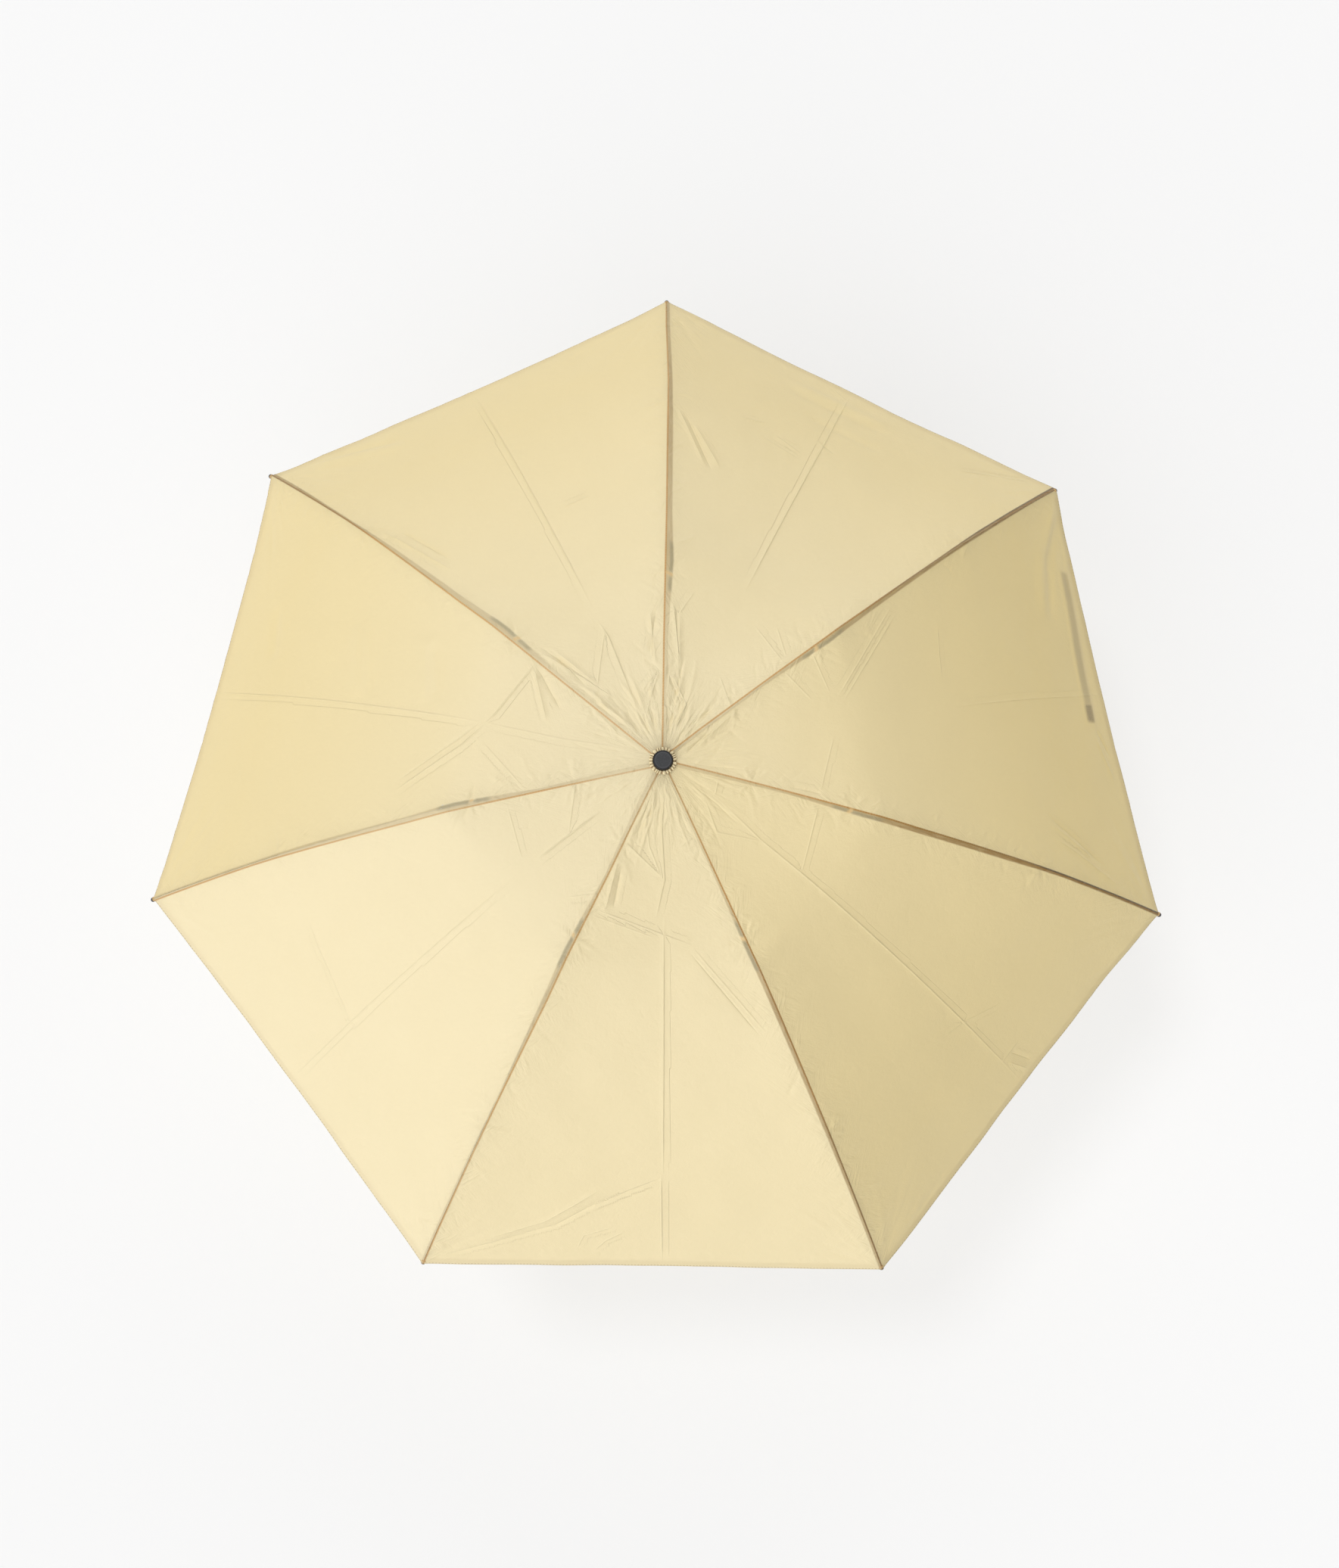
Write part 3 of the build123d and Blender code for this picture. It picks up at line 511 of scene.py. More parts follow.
# How far each panel's rim lies outside the solid's hem, in millimetres, at these shares of the panel.
RIM_PLACES = (0, 0.12, 0.5, 0.88, 1)
RIM = {
    1: (2, 3, 1.5, 3, 3.5),
    2: (3.5, 0.5, -2.5, -2, 0),
    3: (0, -2.5, 0.5, 6, 4.5),
    4: (4.5, 6, 5.5, 6, 4.5),
    5: (4.5, 3, 0, -0.5, 0.5),
    6: (0.5, -5, -7.5, -7, -0.5),
    7: (-0.5, -2.5, -5, -4, 2),
}
UNDER_COLLAR = 12.5  # no wrinkles lie nearer the middle than this
SEAM_RISE = 0.3  # how far the band of doubled cloth stands up beside a seam
SKIN = 0.45  # how far below the cloth its turned-under hem lies
HEM_TURN = 8.0
HEM_ROWS = 4

# The seam over each rib at these distances along it: where its stitched line lies and where its band ends,
# in millimetres clockwise from the rib, then how dark the line and the band are, from 0 to about 100:
# thread and doubled cloth, with painted shade from the rib under the cloth, darkest over ribs 2 and 3.
SEAM_PLACES = (45, 110, 182, 230, 330, 400, 500)
SEAMS = {
    1: (
        (-0.5, -0.5, 0, 0.5, 1, 1.5, -0.5),
        (3, 2.5, 7, 5.5, 6, 5.5, 3),
        (50, 56, 58, 56, 58, 45, 50),
        (8, 16, 32, 34, 44, 48, 38),
    ),
    2: (
        (-2.5, -1.5, 0, 0, -1, -2.5, -3),
        (0.5, 1, 5.5, 4, 2, 1.5, 0.5),
        (52, 54, 62, 66, 84, 98, 100),
        (20, 26, 38, 48, 62, 72, 84),
    ),
    3: (
        (-1, -0.2, 1, 1, 0, -0.7, -0.7),
        (2.5, 2.3, 5.5, 5.5, 4, 2, 2),
        (48, 52, 66, 72, 80, 106, 108),
        (22, 34, 46, 66, 70, 84, 84),
    ),
    4: (
        (-0.5, -0.2, 0, -0.3, 0, 0, -0.3),
        (2.5, 2.2, 4, 3.5, 3.5, 3, 2.5),
        (40, 54, 66, 68, 68, 84, 74),
        (12, 28, 38, 56, 52, 56, 48),
    ),
    5: (
        (-1, -2, -2, -2.7, -1.5, -1, -0.6),
        (3.5, 0.5, 3, 1.5, 0, 1.5, 2),
        (36, 46, 50, 46, 50, 42, 50),
        (14, 22, 28, 32, 28, 20, 24),
    ),
    6: (
        (-3.4, -3.5, -3.7, -3.8, -2.5, -1.6, -1.8),
        (0.5, -1, 2.5, 1, 2, 1.5, 1.5),
        (34, 54, 42, 42, 48, 50, 52),
        (12, 26, 24, 22, 26, 28, 26),
    ),
    7: (
        (-1.3, -1.4, -1.3, -1.4, 0.3, 1.3, 1),
        (2, 1.5, 6, 4, 4, 3, 4),
        (46, 46, 50, 50, 52, 72, 76),
        (2, 6, 24, 24, 30, 50, 54),
    ),
}


def shares_across():
    """Columns across a panel: close together at the seams."""
    near = [0, 0.0025, 0.005, 0.0085, 0.0125]
    inner = np.linspace(0.018, 0.982, 179)
    return np.concatenate([near, inner, 1 - np.array(near)[::-1]])


def grid_normals(points):
    """Unit normals of a grid of points, row by column, averaged from its cells."""
    down, right = points[1:] - points[:-1], points[:, 1:] - points[:, :-1]
    cells = np.cross(
        (down[:, :-1] + down[:, 1:]) / 2,
        (right[:-1] + right[1:]) / 2,
    )
    total = np.zeros_like(points)
    for rows in (slice(None, -1), slice(1, None)):
        for columns in (slice(None, -1), slice(1, None)):
            total[rows, columns] += cells
    return total / np.maximum(np.linalg.norm(total, axis=2, keepdims=True), 1e-12)


def facing_up(normals):
    """The same normals, turned over if those of the first row point down."""
    return normals * np.sign(normals[0, :, 2].mean())


def rim_offset(number, share):
    """How far the rim lies outside the solid's hem, in metres, with the corners of the list rounded."""
    reach = np.minimum(0.1, np.minimum(share, 1 - share))
    steps = np.linspace(-1, 1, 9)
    near = [np.interp(share + reach * step, RIM_PLACES, RIM[number]) for step in steps]
    return np.mean(near, axis=0) * MM


def smooth_cloth(number, along, share):
    """Points on a panel's cloth without its wrinkles and sag, from distances along in metres and shares."""
    middle = (4 * share * (1 - share) + 0 * along)[..., None]
    line = over_rib(along) * (1 - middle) + between_ribs(along) * middle
    share = (share + 0 * along)[..., None]
    side = (1 - share) * outward(number) + share * outward(number + 1)
    return line[..., :1] * side + line[..., 1:] * np.array([0, 0, 1.0])


def sag(along):
    """How far the middle of a panel hangs below its section at distances along, all in millimetres."""
    return SAG * np.sin(np.clip((along - 20) / (HEM * 0.95), 0, 1) * math.pi * 0.83)


def on_section(distance):
    """The section's point at a distance along it: radius and height."""
    return np.array([np.interp(distance, section.distance, line) for line in section.line.T])


def zone_ends(share):
    """Distances along at which the pieces of cloth begin and end.

    Each piece is cut square to its own rib, so that none of it sticks out past the folds when folded.
    """
    towards_rib = 1 - np.minimum(share, 1 - share) * (1 - math.cos(2 * math.pi / RIB_COUNT))
    radius, height = section.line.T
    cuts = []
    for start, fold, end in zip(section.ends, section.ends[1:], section.ends[2:]):
        at_fold = on_section(fold)
        run = on_section(end) - on_section(start)
        fallen = (height - at_fold[1]) * run[1]
        past_fold = [(radius * part - at_fold[0]) * run[0] + fallen for part in towards_rib]
        cuts.append(np.array([np.interp(0, past, section.distance) for past in past_fold]))
    return [section.ends[0] + 0 * share, *cuts, section.ends[3] + 0 * share]


def at_rows(points, rows):
    """Points of a grid's columns at whole or part rows."""
    low = np.floor(rows).astype(int)
    part = (rows - low)[:, None]
    columns = np.arange(points.shape[1])
    return points[low, columns] * (1 - part) + points[low + 1, columns] * part


def rows_along(share):
    """Distances along of a panel's rows of points, from the cap to the solid's hem, in metres."""
    ends = zone_ends(share)
    rows = [np.linspace(start, end, count + 1)[1:] for start, end, count in zip(ends, ends[1:], ROWS)]
    return np.concatenate([ends[0][None], *rows])


class Panel:
    """One gore of cloth as a grid of points, with what its material reads at each of them."""

    def __init__(self, number):
        self.number = number
        self.row_ends = np.cumsum((0,) + ROWS)
        share = shares_across()
        line = rows_along(share)
        outer_part = np.clip((line - section.ends[2]) / (section.ends[3] - section.ends[2]), 0, 1)
        along = line + outer_part**2 * rim_offset(number, share)
        width = panel_width(along / MM)
        flat = np.stack([along / MM, width * (share - 0.5)], axis=-1)
        to_seam = width * np.minimum(share, 1 - share) * math.cos(math.pi / RIB_COUNT)
        clockwise = (share < 0.5)[None, :]
        self.along, self.across = flat[:, :, 0], flat[:, :, 1]
        self.to_rim = HEM - line / MM
        self.seam = np.where(clockwise, to_seam, -to_seam)
        self.seam_fields = self.beside_ribs(number, clockwise)
        relief = Relief(flat, number)
        if number == STRAP_PANEL:
            relief.rest_on_strap()
        self.from_line = relief.from_line
        self.line_height = relief.line_height * np.clip(to_seam / 4 - 0.4, 0, 1)
        rise = self.rise(relief.height, line / MM, share, to_seam)
        points = smooth_cloth(number, along, share)
        normals = facing_up(grid_normals(points))
        self.points = points + normals * (rise * MM)[:, :, None]
        self.turn_hem_under(normals)
        self.normals = facing_up(grid_normals(self.points))

    def rise(self, wrinkles, line, share, to_seam):
        """How far the cloth stands above its smooth surface, in millimetres."""
        rise = wrinkles * np.clip(to_seam / 5, 0, 1) ** 1.3
        rise *= np.clip((line - UNDER_COLLAR) / 10, 0, 1)
        rise -= sag(line) * 4 * share * (1 - share)
        line_at, band_end = self.seam_fields["line_at"], self.seam_fields["band_end"]
        return rise + SEAM_RISE * span(self.seam, line_at, band_end, 0.8)

    def beside_ribs(self, number, clockwise):
        """What the seam looks like over the nearer of the panel's two ribs, as fields of the grid."""
        fields = {}
        ribs = number, number % RIB_COUNT + 1
        for k, name in enumerate(("line_at", "band_end", "line", "band")):
            first, second = (np.interp(self.along, SEAM_PLACES, SEAMS[rib][k]) for rib in ribs)
            fields[name] = np.where(clockwise, first, second)
        return fields

    def turn_hem_under(self, normals):
        """Adds rows that fold the rim's edge under and back."""
        turned_back = len(self.points) - 1 - HEM_TURN / self.to_rim[-2]
        edge = self.points[-1] - normals[-1] * SKIN * MM
        inner = at_rows(self.points - normals * SKIN * MM, turned_back)
        steps = np.linspace(0, 1, HEM_ROWS)[:, None, None]
        self.points = np.concatenate([self.points, edge + (inner - edge) * steps])
        for name in ("along", "across", "to_rim", "seam", "from_line", "line_height"):
            values = getattr(self, name)
            setattr(self, name, with_hem_rows(values))
        self.seam_fields = {name: with_hem_rows(values) for name, values in self.seam_fields.items()}


def with_hem_rows(values):
    """A field of a grid with its last row repeated for the rows of the turned-under hem."""
    return np.concatenate([values, np.repeat(values[-1:], HEM_ROWS, 0)])


BRACKET = (152, 198)  # where the painted shadow of each first fold's steel shows through, along the rib
BRACKET_WIDTH = 3.0
TIE = (166.3, 169.3)  # the thread that ties the cloth to each rib there


def shadows_and_tie_through_cloth(panel):
    """How much painted shadow of the first fold's steel, the strap and its patch falls on the cloth, and where the
    tie thread shows, from 0 to 1.
    """
    end = panel.seam_fields["band_end"]
    bracket = span(panel.along, *BRACKET, 5) * span(panel.seam, end - BRACKET_WIDTH, end, 1.6)
    bracket *= 1 - span(panel.along, TIE[0] - 1, TIE[1] + 1, 1.5)
    tie = span(panel.along, *TIE, 1.2) * span(panel.seam, 0.3, end + 0.4, 1.0)
    if panel.number != STRAP_PANEL:
        return bracket, tie, np.zeros_like(tie), np.zeros_like(tie)
    run, side = on_strap(panel.along, panel.across)
    half = STRAP_LENGTH / 2
    strap = span(run, -half, half, 3) * span(side, -STRAP_SEEN / 2, STRAP_SEEN / 2, 5)
    patch = strap * np.clip(run - (half - PATCH_LENGTH) + 0.5, 0, 1)
    return bracket, tie, strap, patch


def sheet_mesh(name, points, normals, fields, ring=False):
    """A grid of points as a mesh with its fields as attributes. A ring's last column joins its first."""
    rows, columns = points.shape[:2]
    mesh = bpy.data.meshes.new(name)
    index = np.arange(rows * columns).reshape(rows, columns)
    if ring:
        index = np.concatenate([index, index[:, :1]], axis=1)
    faces = np.stack([index[:-1, :-1], index[1:, :-1], index[1:, 1:], index[:-1, 1:]], axis=-1)
    a, b, c = (points.reshape(-1, 3)[faces[0, 0, k]] for k in (0, 1, 2))
    if np.dot(np.cross(b - a, c - a), normals[0, 0]) < 0:
        faces = faces[:, :, ::-1]
    mesh.from_pydata(points.reshape(-1, 3).tolist(), [], faces.reshape(-1, 4).tolist())
    for field, values in fields.items():
        attribute = mesh.attributes.new(field, "FLOAT", "POINT")
        attribute.data.foreach_set("value", values.astype(np.float32).ravel())
    mesh.shade_smooth()
    mesh.normals_split_custom_set_from_vertices(normals.reshape(-1, 3).tolist())
    piece = bpy.data.objects.new(name, mesh)
    bpy.context.scene.collection.objects.link(piece)
    return piece


# ---------------------------------------------------------------- collar, strap and thread
COLLAR_PLEATS = 25
COLLAR_ROWS = 22
COLLAR_COLUMNS = 432
PLEAT_DEPTH = 0.6
STRAP_THICKNESS = 0.8
STRAP_DROP = 1.5  # from the cloth to the middle of the strap's thickness
PATCH_WIDTH = 12.0
PATCH_THICKNESS = 0.7
BAND_CORNER = 2.5
THREAD = 0.25  # radius
THREAD_TURNS = 4
THREAD_PITCH = 0.62
# How far each kind of winding stands from its rib's middle: sideways, below and above.
INNER_REACH = (2.15, 1.95, 2.2)
OUTER_REACH = (1.95, 1.75, 2.2)
TIP_REACH = (1.8, 1.8, 3.3)


def ring_normals(points):
    """Unit normals of a grid whose last column joins its first."""
    around = np.concatenate([points[:, -1:], points, points[:, :1]], axis=1)
    return grid_normals(around)[:, 1:-1]


def collar_profile():
    """(radius, height) of the collar from under the cap, over its roll and in below it."""
    low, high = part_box("canopy_collar")
    outer = high.x - 0.5 * MM
    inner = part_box("top_cap")[1].x - 1.6 * MM
    turn = np.radians(np.linspace(96, -120, COLLAR_ROWS))
    radius = (outer + inner) / 2 + (outer - inner) / 2 * np.cos(turn)
    height = (low.z + high.z) / 2 + 0.43 * (high.z - low.z) * np.sin(turn)
    return np.stack([radius, height], axis=-1)


def make_collar(material):
    """The cloth's gathered top edge: uneven pleats rolled out from under the cap."""
    draw = np.random.RandomState(5)
    turn = np.linspace(0, 2 * math.pi, COLLAR_COLUMNS, endpoint=False)
    uneven = 0
    for count in (2, 3, 5, 8):
        uneven += draw.uniform(0.1, 0.5) * np.sin(count * turn + draw.uniform(0, 2 * math.pi))
    pleat = np.sin(COLLAR_PLEATS * turn + 2.2 * uneven) * (0.75 + 0.25 * np.sin(7 * turn + 1))
    profile = collar_profile()
    share = np.linspace(0, 1, COLLAR_ROWS)[:, None]
    pushed = PLEAT_DEPTH * MM * pleat * np.sin(math.pi * np.clip(share * 1.3, 0, 1))
    angle = turn + 0.1 * share * np.sin(5 * turn + 1)
    radius = profile[:, :1] + pushed
    height = profile[:, 1:] + 0.7 * pushed
    points = np.stack([radius * np.cos(angle), radius * np.sin(angle), height], axis=-1)
    fields = {
        "valley": np.clip(0.25 - pleat, 0, 1) * np.ones_like(share),
        "down": share * np.ones_like(turn),
    }
    collar = sheet_mesh("gathered_collar", points, facing_up(ring_normals(points)), fields, ring=True)
    collar.data.materials.append(material)
    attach(collar, "upper_stage")
    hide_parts("canopy_collar")


def strap_points(run, side):
    """Points of the smooth cloth at places along and across the strap, in millimetres."""
    middle = place(HEM - STRAP_FROM_HEM, STRAP_SHARE)
    c, s = math.cos(STRAP_LEAN), math.sin(STRAP_LEAN)
    along = middle[0] - run * s + side * c
    across = middle[1] + run * c + side * s
    share = across / panel_width(along) + 0.5
    points = smooth_cloth(STRAP_PANEL, along * MM, share)
    points[..., 2] -= sag(along) * 4 * share * (1 - share) * MM
    return points


def rounded(wave, power):
    """A sine or cosine pushed out towards a square."""
    return np.sign(wave) * np.abs(wave) ** power


def band(name, width, start, end, drop, thickness, material):
    """A flat band with rounded corners below the cloth, from start to end of the strap's length."""
    run = np.linspace(start, end, 91)[:, None]
    from_end = np.minimum(run - start, end - run)
    corner = np.clip(BAND_CORNER - from_end, 0, BAND_CORNER)
    half = width / 2 - BAND_CORNER + np.sqrt(BAND_CORNER**2 - corner**2)
    thinned = np.sqrt(1 - np.clip(1 - from_end / thickness, 0, 1) ** 2)
    turn = np.linspace(0, 2 * math.pi, 40, endpoint=False)
    side = rounded(np.cos(turn), 0.3) * half
    lift = rounded(np.sin(turn), 0.6) * thinned * thickness / 2
    corners = strap_points(np.array([0.0, 1.0, 0.0]), np.array([0.0, 0.0, 1.0]))
    down = np.cross(corners[1] - corners[0], corners[2] - corners[0])
    down *= -np.sign(down[2]) / np.linalg.norm(down)
    points = strap_points(run + 0 * side, side) + (drop + lift)[:, :, None] * MM * down
    normals = ring_normals(points)
    if np.sum(normals * (lift[:, :, None] * down)) < 0:
        normals = -normals
    piece = sheet_mesh(name, points, normals, {"run": run + 0 * side, "side": side}, ring=True)
    piece.data.materials.append(material)
    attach(piece, f"outer_rib_{STRAP_PANEL}")
    return piece


def make_strap(strap_cloth, patch_cloth):
    """The strap that ties the folded umbrella, under the cloth near its rim, with its hook tape patch."""
    half = STRAP_LENGTH / 2
    under = STRAP_DROP + (STRAP_THICKNESS + PATCH_THICKNESS) / 2 - 0.1
    strap = band("strap", STRAP_WIDTH, -half, half, STRAP_DROP, STRAP_THICKNESS, strap_cloth)
    ends = half - 1 - PATCH_LENGTH, half - 1
    patch = band("strap_patch", PATCH_WIDTH, *ends, under, PATCH_THICKNESS, patch_cloth)
    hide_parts("tie_strap")
    return strap, patch


def wind_thread(name, body, rib, place_on_rib, slope, reach, material):
    """Turns of thread round a rib at its (radius, height), as far from it as reach says."""
    sideways, below, above = reach
    out, up = outward(rib), np.array([0, 0, 1.0])
    tilt = math.radians(slope)
    run = math.cos(tilt) * out + math.sin(tilt) * up
    rise = math.cos(tilt) * up - math.sin(tilt) * out
    across = np.cross(run, rise)
    centre = place_on_rib[0] * out + place_on_rib[1] * up + rise * (above - below) / 2 * MM
    turn = np.linspace(0, 2 * math.pi * THREAD_TURNS, 28 * THREAD_TURNS)[:, None]
    wide = rounded(np.cos(turn), 0.5) * sideways
    tall = rounded(np.sin(turn), 0.5) * (above + below) / 2
    forward = (turn / (2 * math.pi) - THREAD_TURNS / 2) * THREAD_PITCH
    from_centre = wide * across + tall * rise
    axis = centre + (from_centre + forward * run) * MM
    away = from_centre / np.linalg.norm(from_centre, axis=1, keepdims=True)
    section_turn = np.linspace(0, 2 * math.pi, 8, endpoint=False)[None, :, None]
    normals = np.cos(section_turn) * away[:, None] + np.sin(section_turn) * run
    thread = sheet_mesh(name, axis[:, None] + normals * THREAD * MM, normals, {}, ring=True)
    thread.data.materials.append(material)
    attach(thread, body)


def at_radius(start, end, along):
    """The (radius, height) on the line between two pivots that lies under a distance along the cloth."""
    radius = np.interp(along, section.distance / MM, section.line[:, 0])
    return start + (end - start) * (radius - start[0]) / (end[0] - start[0])


def make_threads(material):
    """The threads that tie the cloth to every rib: before each fold and at the tip."""
    tip = tip_centre() + turned(-SHORT_OF_TIP + 0.5 * MM, 0, OUTER_SLOPE)
    for rib in range(1, RIB_COUNT + 1):
        crown, first = in_rib_plane(f"crown_pivot_{rib}"), in_rib_plane(f"first_fold_{rib}")
        inner = at_radius(crown, first, sum(TIE) / 2)
        outer = at_radius(first, in_rib_plane(f"second_fold_{rib}"), TIES[-1] - 4)
        for name, section_name, where, slope, reach in (
            ("inner", "top_rib", inner, TOP_SLOPE, INNER_REACH),
            ("outer", "middle_rib", outer, MIDDLE_SLOPE, OUTER_REACH),
            ("tip", "outer_rib", tip, OUTER_SLOPE, TIP_REACH),
        ):
            wind_thread(f"thread_{name}_{rib}", f"{section_name}_{rib}", rib, where, slope, reach, material)


# ---------------------------------------------------------------- the canopy's pieces
ZONES = ("top_rib", "middle_rib", "outer_rib")
# How far each gore's cream is painted deeper and yellower, from 0 to 1, near the cap and near the hem: painted
# shade where a gore gets less light, paler where it is lit.
PAINTED_GORE_SHADE = {
    1: (0.06, 0.66),
    2: (0.27, 0.95),
    3: (0.41, 0.74),
    4: (0.15, 0.2),
    5: (0.0, 0.0),
    6: (0.0, 0.62),
    7: (0.0, 0.62),
}
PAINTED_GORE_SHADE_PLACES = (100, 450)


def panel_fields(panel):
    """What the cloth's material reads, but for the seam, whose sign changes at the panel's middle."""
    bracket, tie, strap, patch = shadows_and_tie_through_cloth(panel)
    return {
        "along": panel.along,
        "across": panel.across,
        "to_rim": panel.to_rim,
        "warmth": np.interp(panel.along, PAINTED_GORE_SHADE_PLACES, PAINTED_GORE_SHADE[panel.number]),
        "from_line": panel.from_line,
        "line_height": panel.line_height,
        "gathered": np.full(panel.along.shape, GATHER_STRENGTH[panel.number]),
        **panel.seam_fields,
        "bracket": bracket,
        "tie": tie,
        "strap": strap,
        "patch": patch,
    }


def squash_to_rib(pieces, on_rib):
    """Gives each piece its own copy of its mesh; the direction along the rib is worked out but not used."""
    run = on_rib[-1] - on_rib[0]
    run /= np.linalg.norm(run)
    for piece in pieces:
        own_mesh(piece)


def cut_panel(panel, material, strap_cloths):
    """Cuts a panel at its middle and at the two folds, so that each piece moves with one rib section."""
    fields = panel_fields(panel)
    strap_pieces = make_strap(*strap_cloths) if panel.number == STRAP_PANEL else ()
    middle = len(shares_across()) // 2
    next_rib = panel.number % RIB_COUNT + 1
    sides = (("a", slice(0, middle + 1), panel.number, 0), ("b", slice(middle, None), next_rib, -1))
    for side, columns, rib, rib_column in sides:
        fields["seam"] = np.abs(panel.seam) if side == "a" else -np.abs(panel.seam)
        for zone, section_name in enumerate(ZONES):
            at_rim = zone == len(ZONES) - 1
            start, end = panel.row_ends[zone], panel.row_ends[zone + 1]
            rows = slice(start, None if at_rim else end + 1)
            points = panel.points[rows, columns]
            piece = sheet_mesh(
                f"cloth_{panel.number}{side}_{zone + 1}",
                points,
                panel.normals[rows, columns],
                {name: values[rows, columns] for name, values in fields.items()},
            )
            piece.data.materials.append(material)
            body = f"{section_name}_{rib}"
            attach(piece, body)
            cloth = points[: end - start + 1]
            on_rib = cloth[:, rib_column]
            carried = strap_pieces if side == "a" and at_rim else ()
            squash_to_rib((piece, *carried), on_rib)
            if panel.number == 1 and side == "a" and zone == 0:
                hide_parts("canopy")


# ---------------------------------------------------------------- materials
class Paint:
    """A node material, built up by calls that return sockets."""

    def __init__(self, name):
        self.material = bpy.data.materials.new(name)
        self.material.use_nodes = True
        self.tree = self.material.node_tree
        self.tree.nodes.clear()

    def put(self, value, socket):
        if isinstance(value, bpy.types.NodeSocket):
            self.tree.links.new(value, socket)
        elif hasattr(value, "__len__") and len(value) == 3 and len(socket.default_value) == 4:
            socket.default_value = (*value, 1.0)
        else:
            socket.default_value = value

    def node(self, kind, **settings):
        node = self.tree.nodes.new(kind)
        for name, value in settings.items():
            setattr(node, name, value)
        return node

    def calc(self, operation, *values):
        node = self.node("ShaderNodeMath", operation=operation)
        for value, socket in zip(values, node.inputs):
            self.put(value, socket)
        return node.outputs[0]

    def times(self, a, b):
        return self.calc("MULTIPLY", a, b)

    def plus(self, a, b):
        return self.calc("ADD", a, b)

    def minus(self, a, b):
        return self.calc("SUBTRACT", a, b)

    def field(self, name):
        return self.node("ShaderNodeAttribute", attribute_name=name).outputs["Fac"]

    def step(self, value, low, high):
        """0 where value is low, 1 where it is high, smooth between."""
        node = self.node("ShaderNodeMapRange", interpolation_type="SMOOTHSTEP")
        for socket, number in zip(node.inputs, (value, low, high, 0.0, 1.0)):
            self.put(number, socket)
        return node.outputs[0]

    def band(self, value, low, high, soft):
        rise = self.step(value, low - soft, low + soft)
        fall = self.step(value, high + soft, high - soft)
        return self.times(rise, fall)

    def mix(self, factor, a, b):
        node = self.node("ShaderNodeMix", data_type="RGBA")
        self.put(factor, node.inputs["Factor"])
        self.put(a, node.inputs[6])
        self.put(b, node.inputs[7])
        return node.outputs[2]

    def join(self, x, y, z=0.0):
        node = self.node("ShaderNodeCombineXYZ")
        for socket, value in zip(node.inputs, (x, y, z)):
            self.put(value, socket)
        return node.outputs[0]

    def object_place(self):
        return self.node("ShaderNodeTexCoord").outputs["Object"]

    def noise(self, where, scale, detail=2.0, roughness=0.5):
        node = self.node("ShaderNodeTexNoise")
        self.put(where, node.inputs["Vector"])
        self.put(scale, node.inputs["Scale"])
        self.put(detail, node.inputs["Detail"])
        self.put(roughness, node.inputs["Roughness"])
        return node.outputs["Fac"]

    def creases(self, where, scale, detail=2.0):
        """Sharp furrows between soft swells: noise folded over at its middle."""
        noise = self.noise(where, scale, detail, 0.55)
        return self.calc("ABSOLUTE", self.minus(noise, 0.5))

    def bump(self, height, distance, strength=1.0):
        node = self.node("ShaderNodeBump")
        self.put(height, node.inputs["Height"])
        self.put(distance, node.inputs["Distance"])
        self.put(strength, node.inputs["Strength"])
        return node.outputs["Normal"]

    def surface(self, **values):
        """A Principled shader with these inputs, their names written with underscores."""
        node = self.node("ShaderNodeBsdfPrincipled")
        for name, value in values.items():
            self.put(value, node.inputs[name.replace("_", " ")])
        return node.outputs[0]

    def blend(self, factor, a, b):
        """Shader a where the factor is 0 and shader b where it is 1."""
        node = self.node("ShaderNodeMixShader")
        for socket, value in zip(node.inputs, (factor, a, b)):
            self.put(value, socket)
        return node.outputs[0]

    def done(self, shader):
        self.tree.links.new(shader, self.node("ShaderNodeOutputMaterial").inputs["Surface"])
        return self.material


LINE_WIDTH = 0.7  # of a pressed line, in millimetres
THREAD_SPACING = 0.5
STITCH = 2.4
HEM_STITCH = 3.0
STRAP_STITCH = 2.6
CREAM = (0.93, 0.81, 0.52)
PAINTED_SHADE_CREAM = (0.885, 0.712, 0.325)
TAN = (0.66, 0.47, 0.24)
CARAMEL = (0.55, 0.225, 0.0)
SEAM_DARK = (0.29, 0.155, 0.025)
SEAM_DARKEST = (0.11, 0.07, 0.02)
# painted shadow colour of the steel under the cloth
BRACKET_SHADOW_SHOWN = (0.235, 0.225, 0.145)
TIE_ORANGE = (0.86, 0.60, 0.26)


def plain_weave(p, along, across):
    """Two sets of threads, from -2 to 2."""
    warp = p.calc("SINE", p.times(along, 2 * math.pi / THREAD_SPACING))
    weft = p.calc("SINE", p.times(across, 2 * math.pi / THREAD_SPACING))
    return p.plus(warp, weft)


def seam_paint(p, color, along, seam):
    """The stitched line over each rib and the band of doubled cloth beside it, darkened with painted shade from
    the rib beneath.
    """
    line_at, band_end = p.field("line_at"), p.field("band_end")
    from_line = p.calc("ABSOLUTE", p.minus(seam, line_at))
    line = p.calc("MINIMUM", p.times(p.field("line"), 0.0135), 0.95)
    line = p.times(line, p.step(from_line, 1.05, 0.35))
    inside = p.step(p.minus(seam, line_at), -0.5, 0.7)
    inside = p.times(inside, p.step(p.minus(band_end, seam), -0.7, 0.9))
    uneven = p.noise(p.join(p.times(along, 0.08), seam), 0.9, detail=2)
    band = p.times(p.field("band"), p.calc("MULTIPLY_ADD", uneven, 0.009, 0.0075))
    # Painted shade of the rib under the band of doubled cloth.
    color = p.mix(p.times(inside, band), color, SEAM_DARK)
    stitches = p.calc("SINE", p.times(along, 2 * math.pi / STITCH))
    line = p.times(line, p.calc("MULTIPLY_ADD", stitches, 0.08, 0.95))
    thread = p.mix(p.step(p.field("line"), 52, 80), CARAMEL, SEAM_DARK)
    thread = p.mix(p.step(p.field("line"), 80, 106), thread, SEAM_DARKEST)
    return p.mix(line, color, thread)


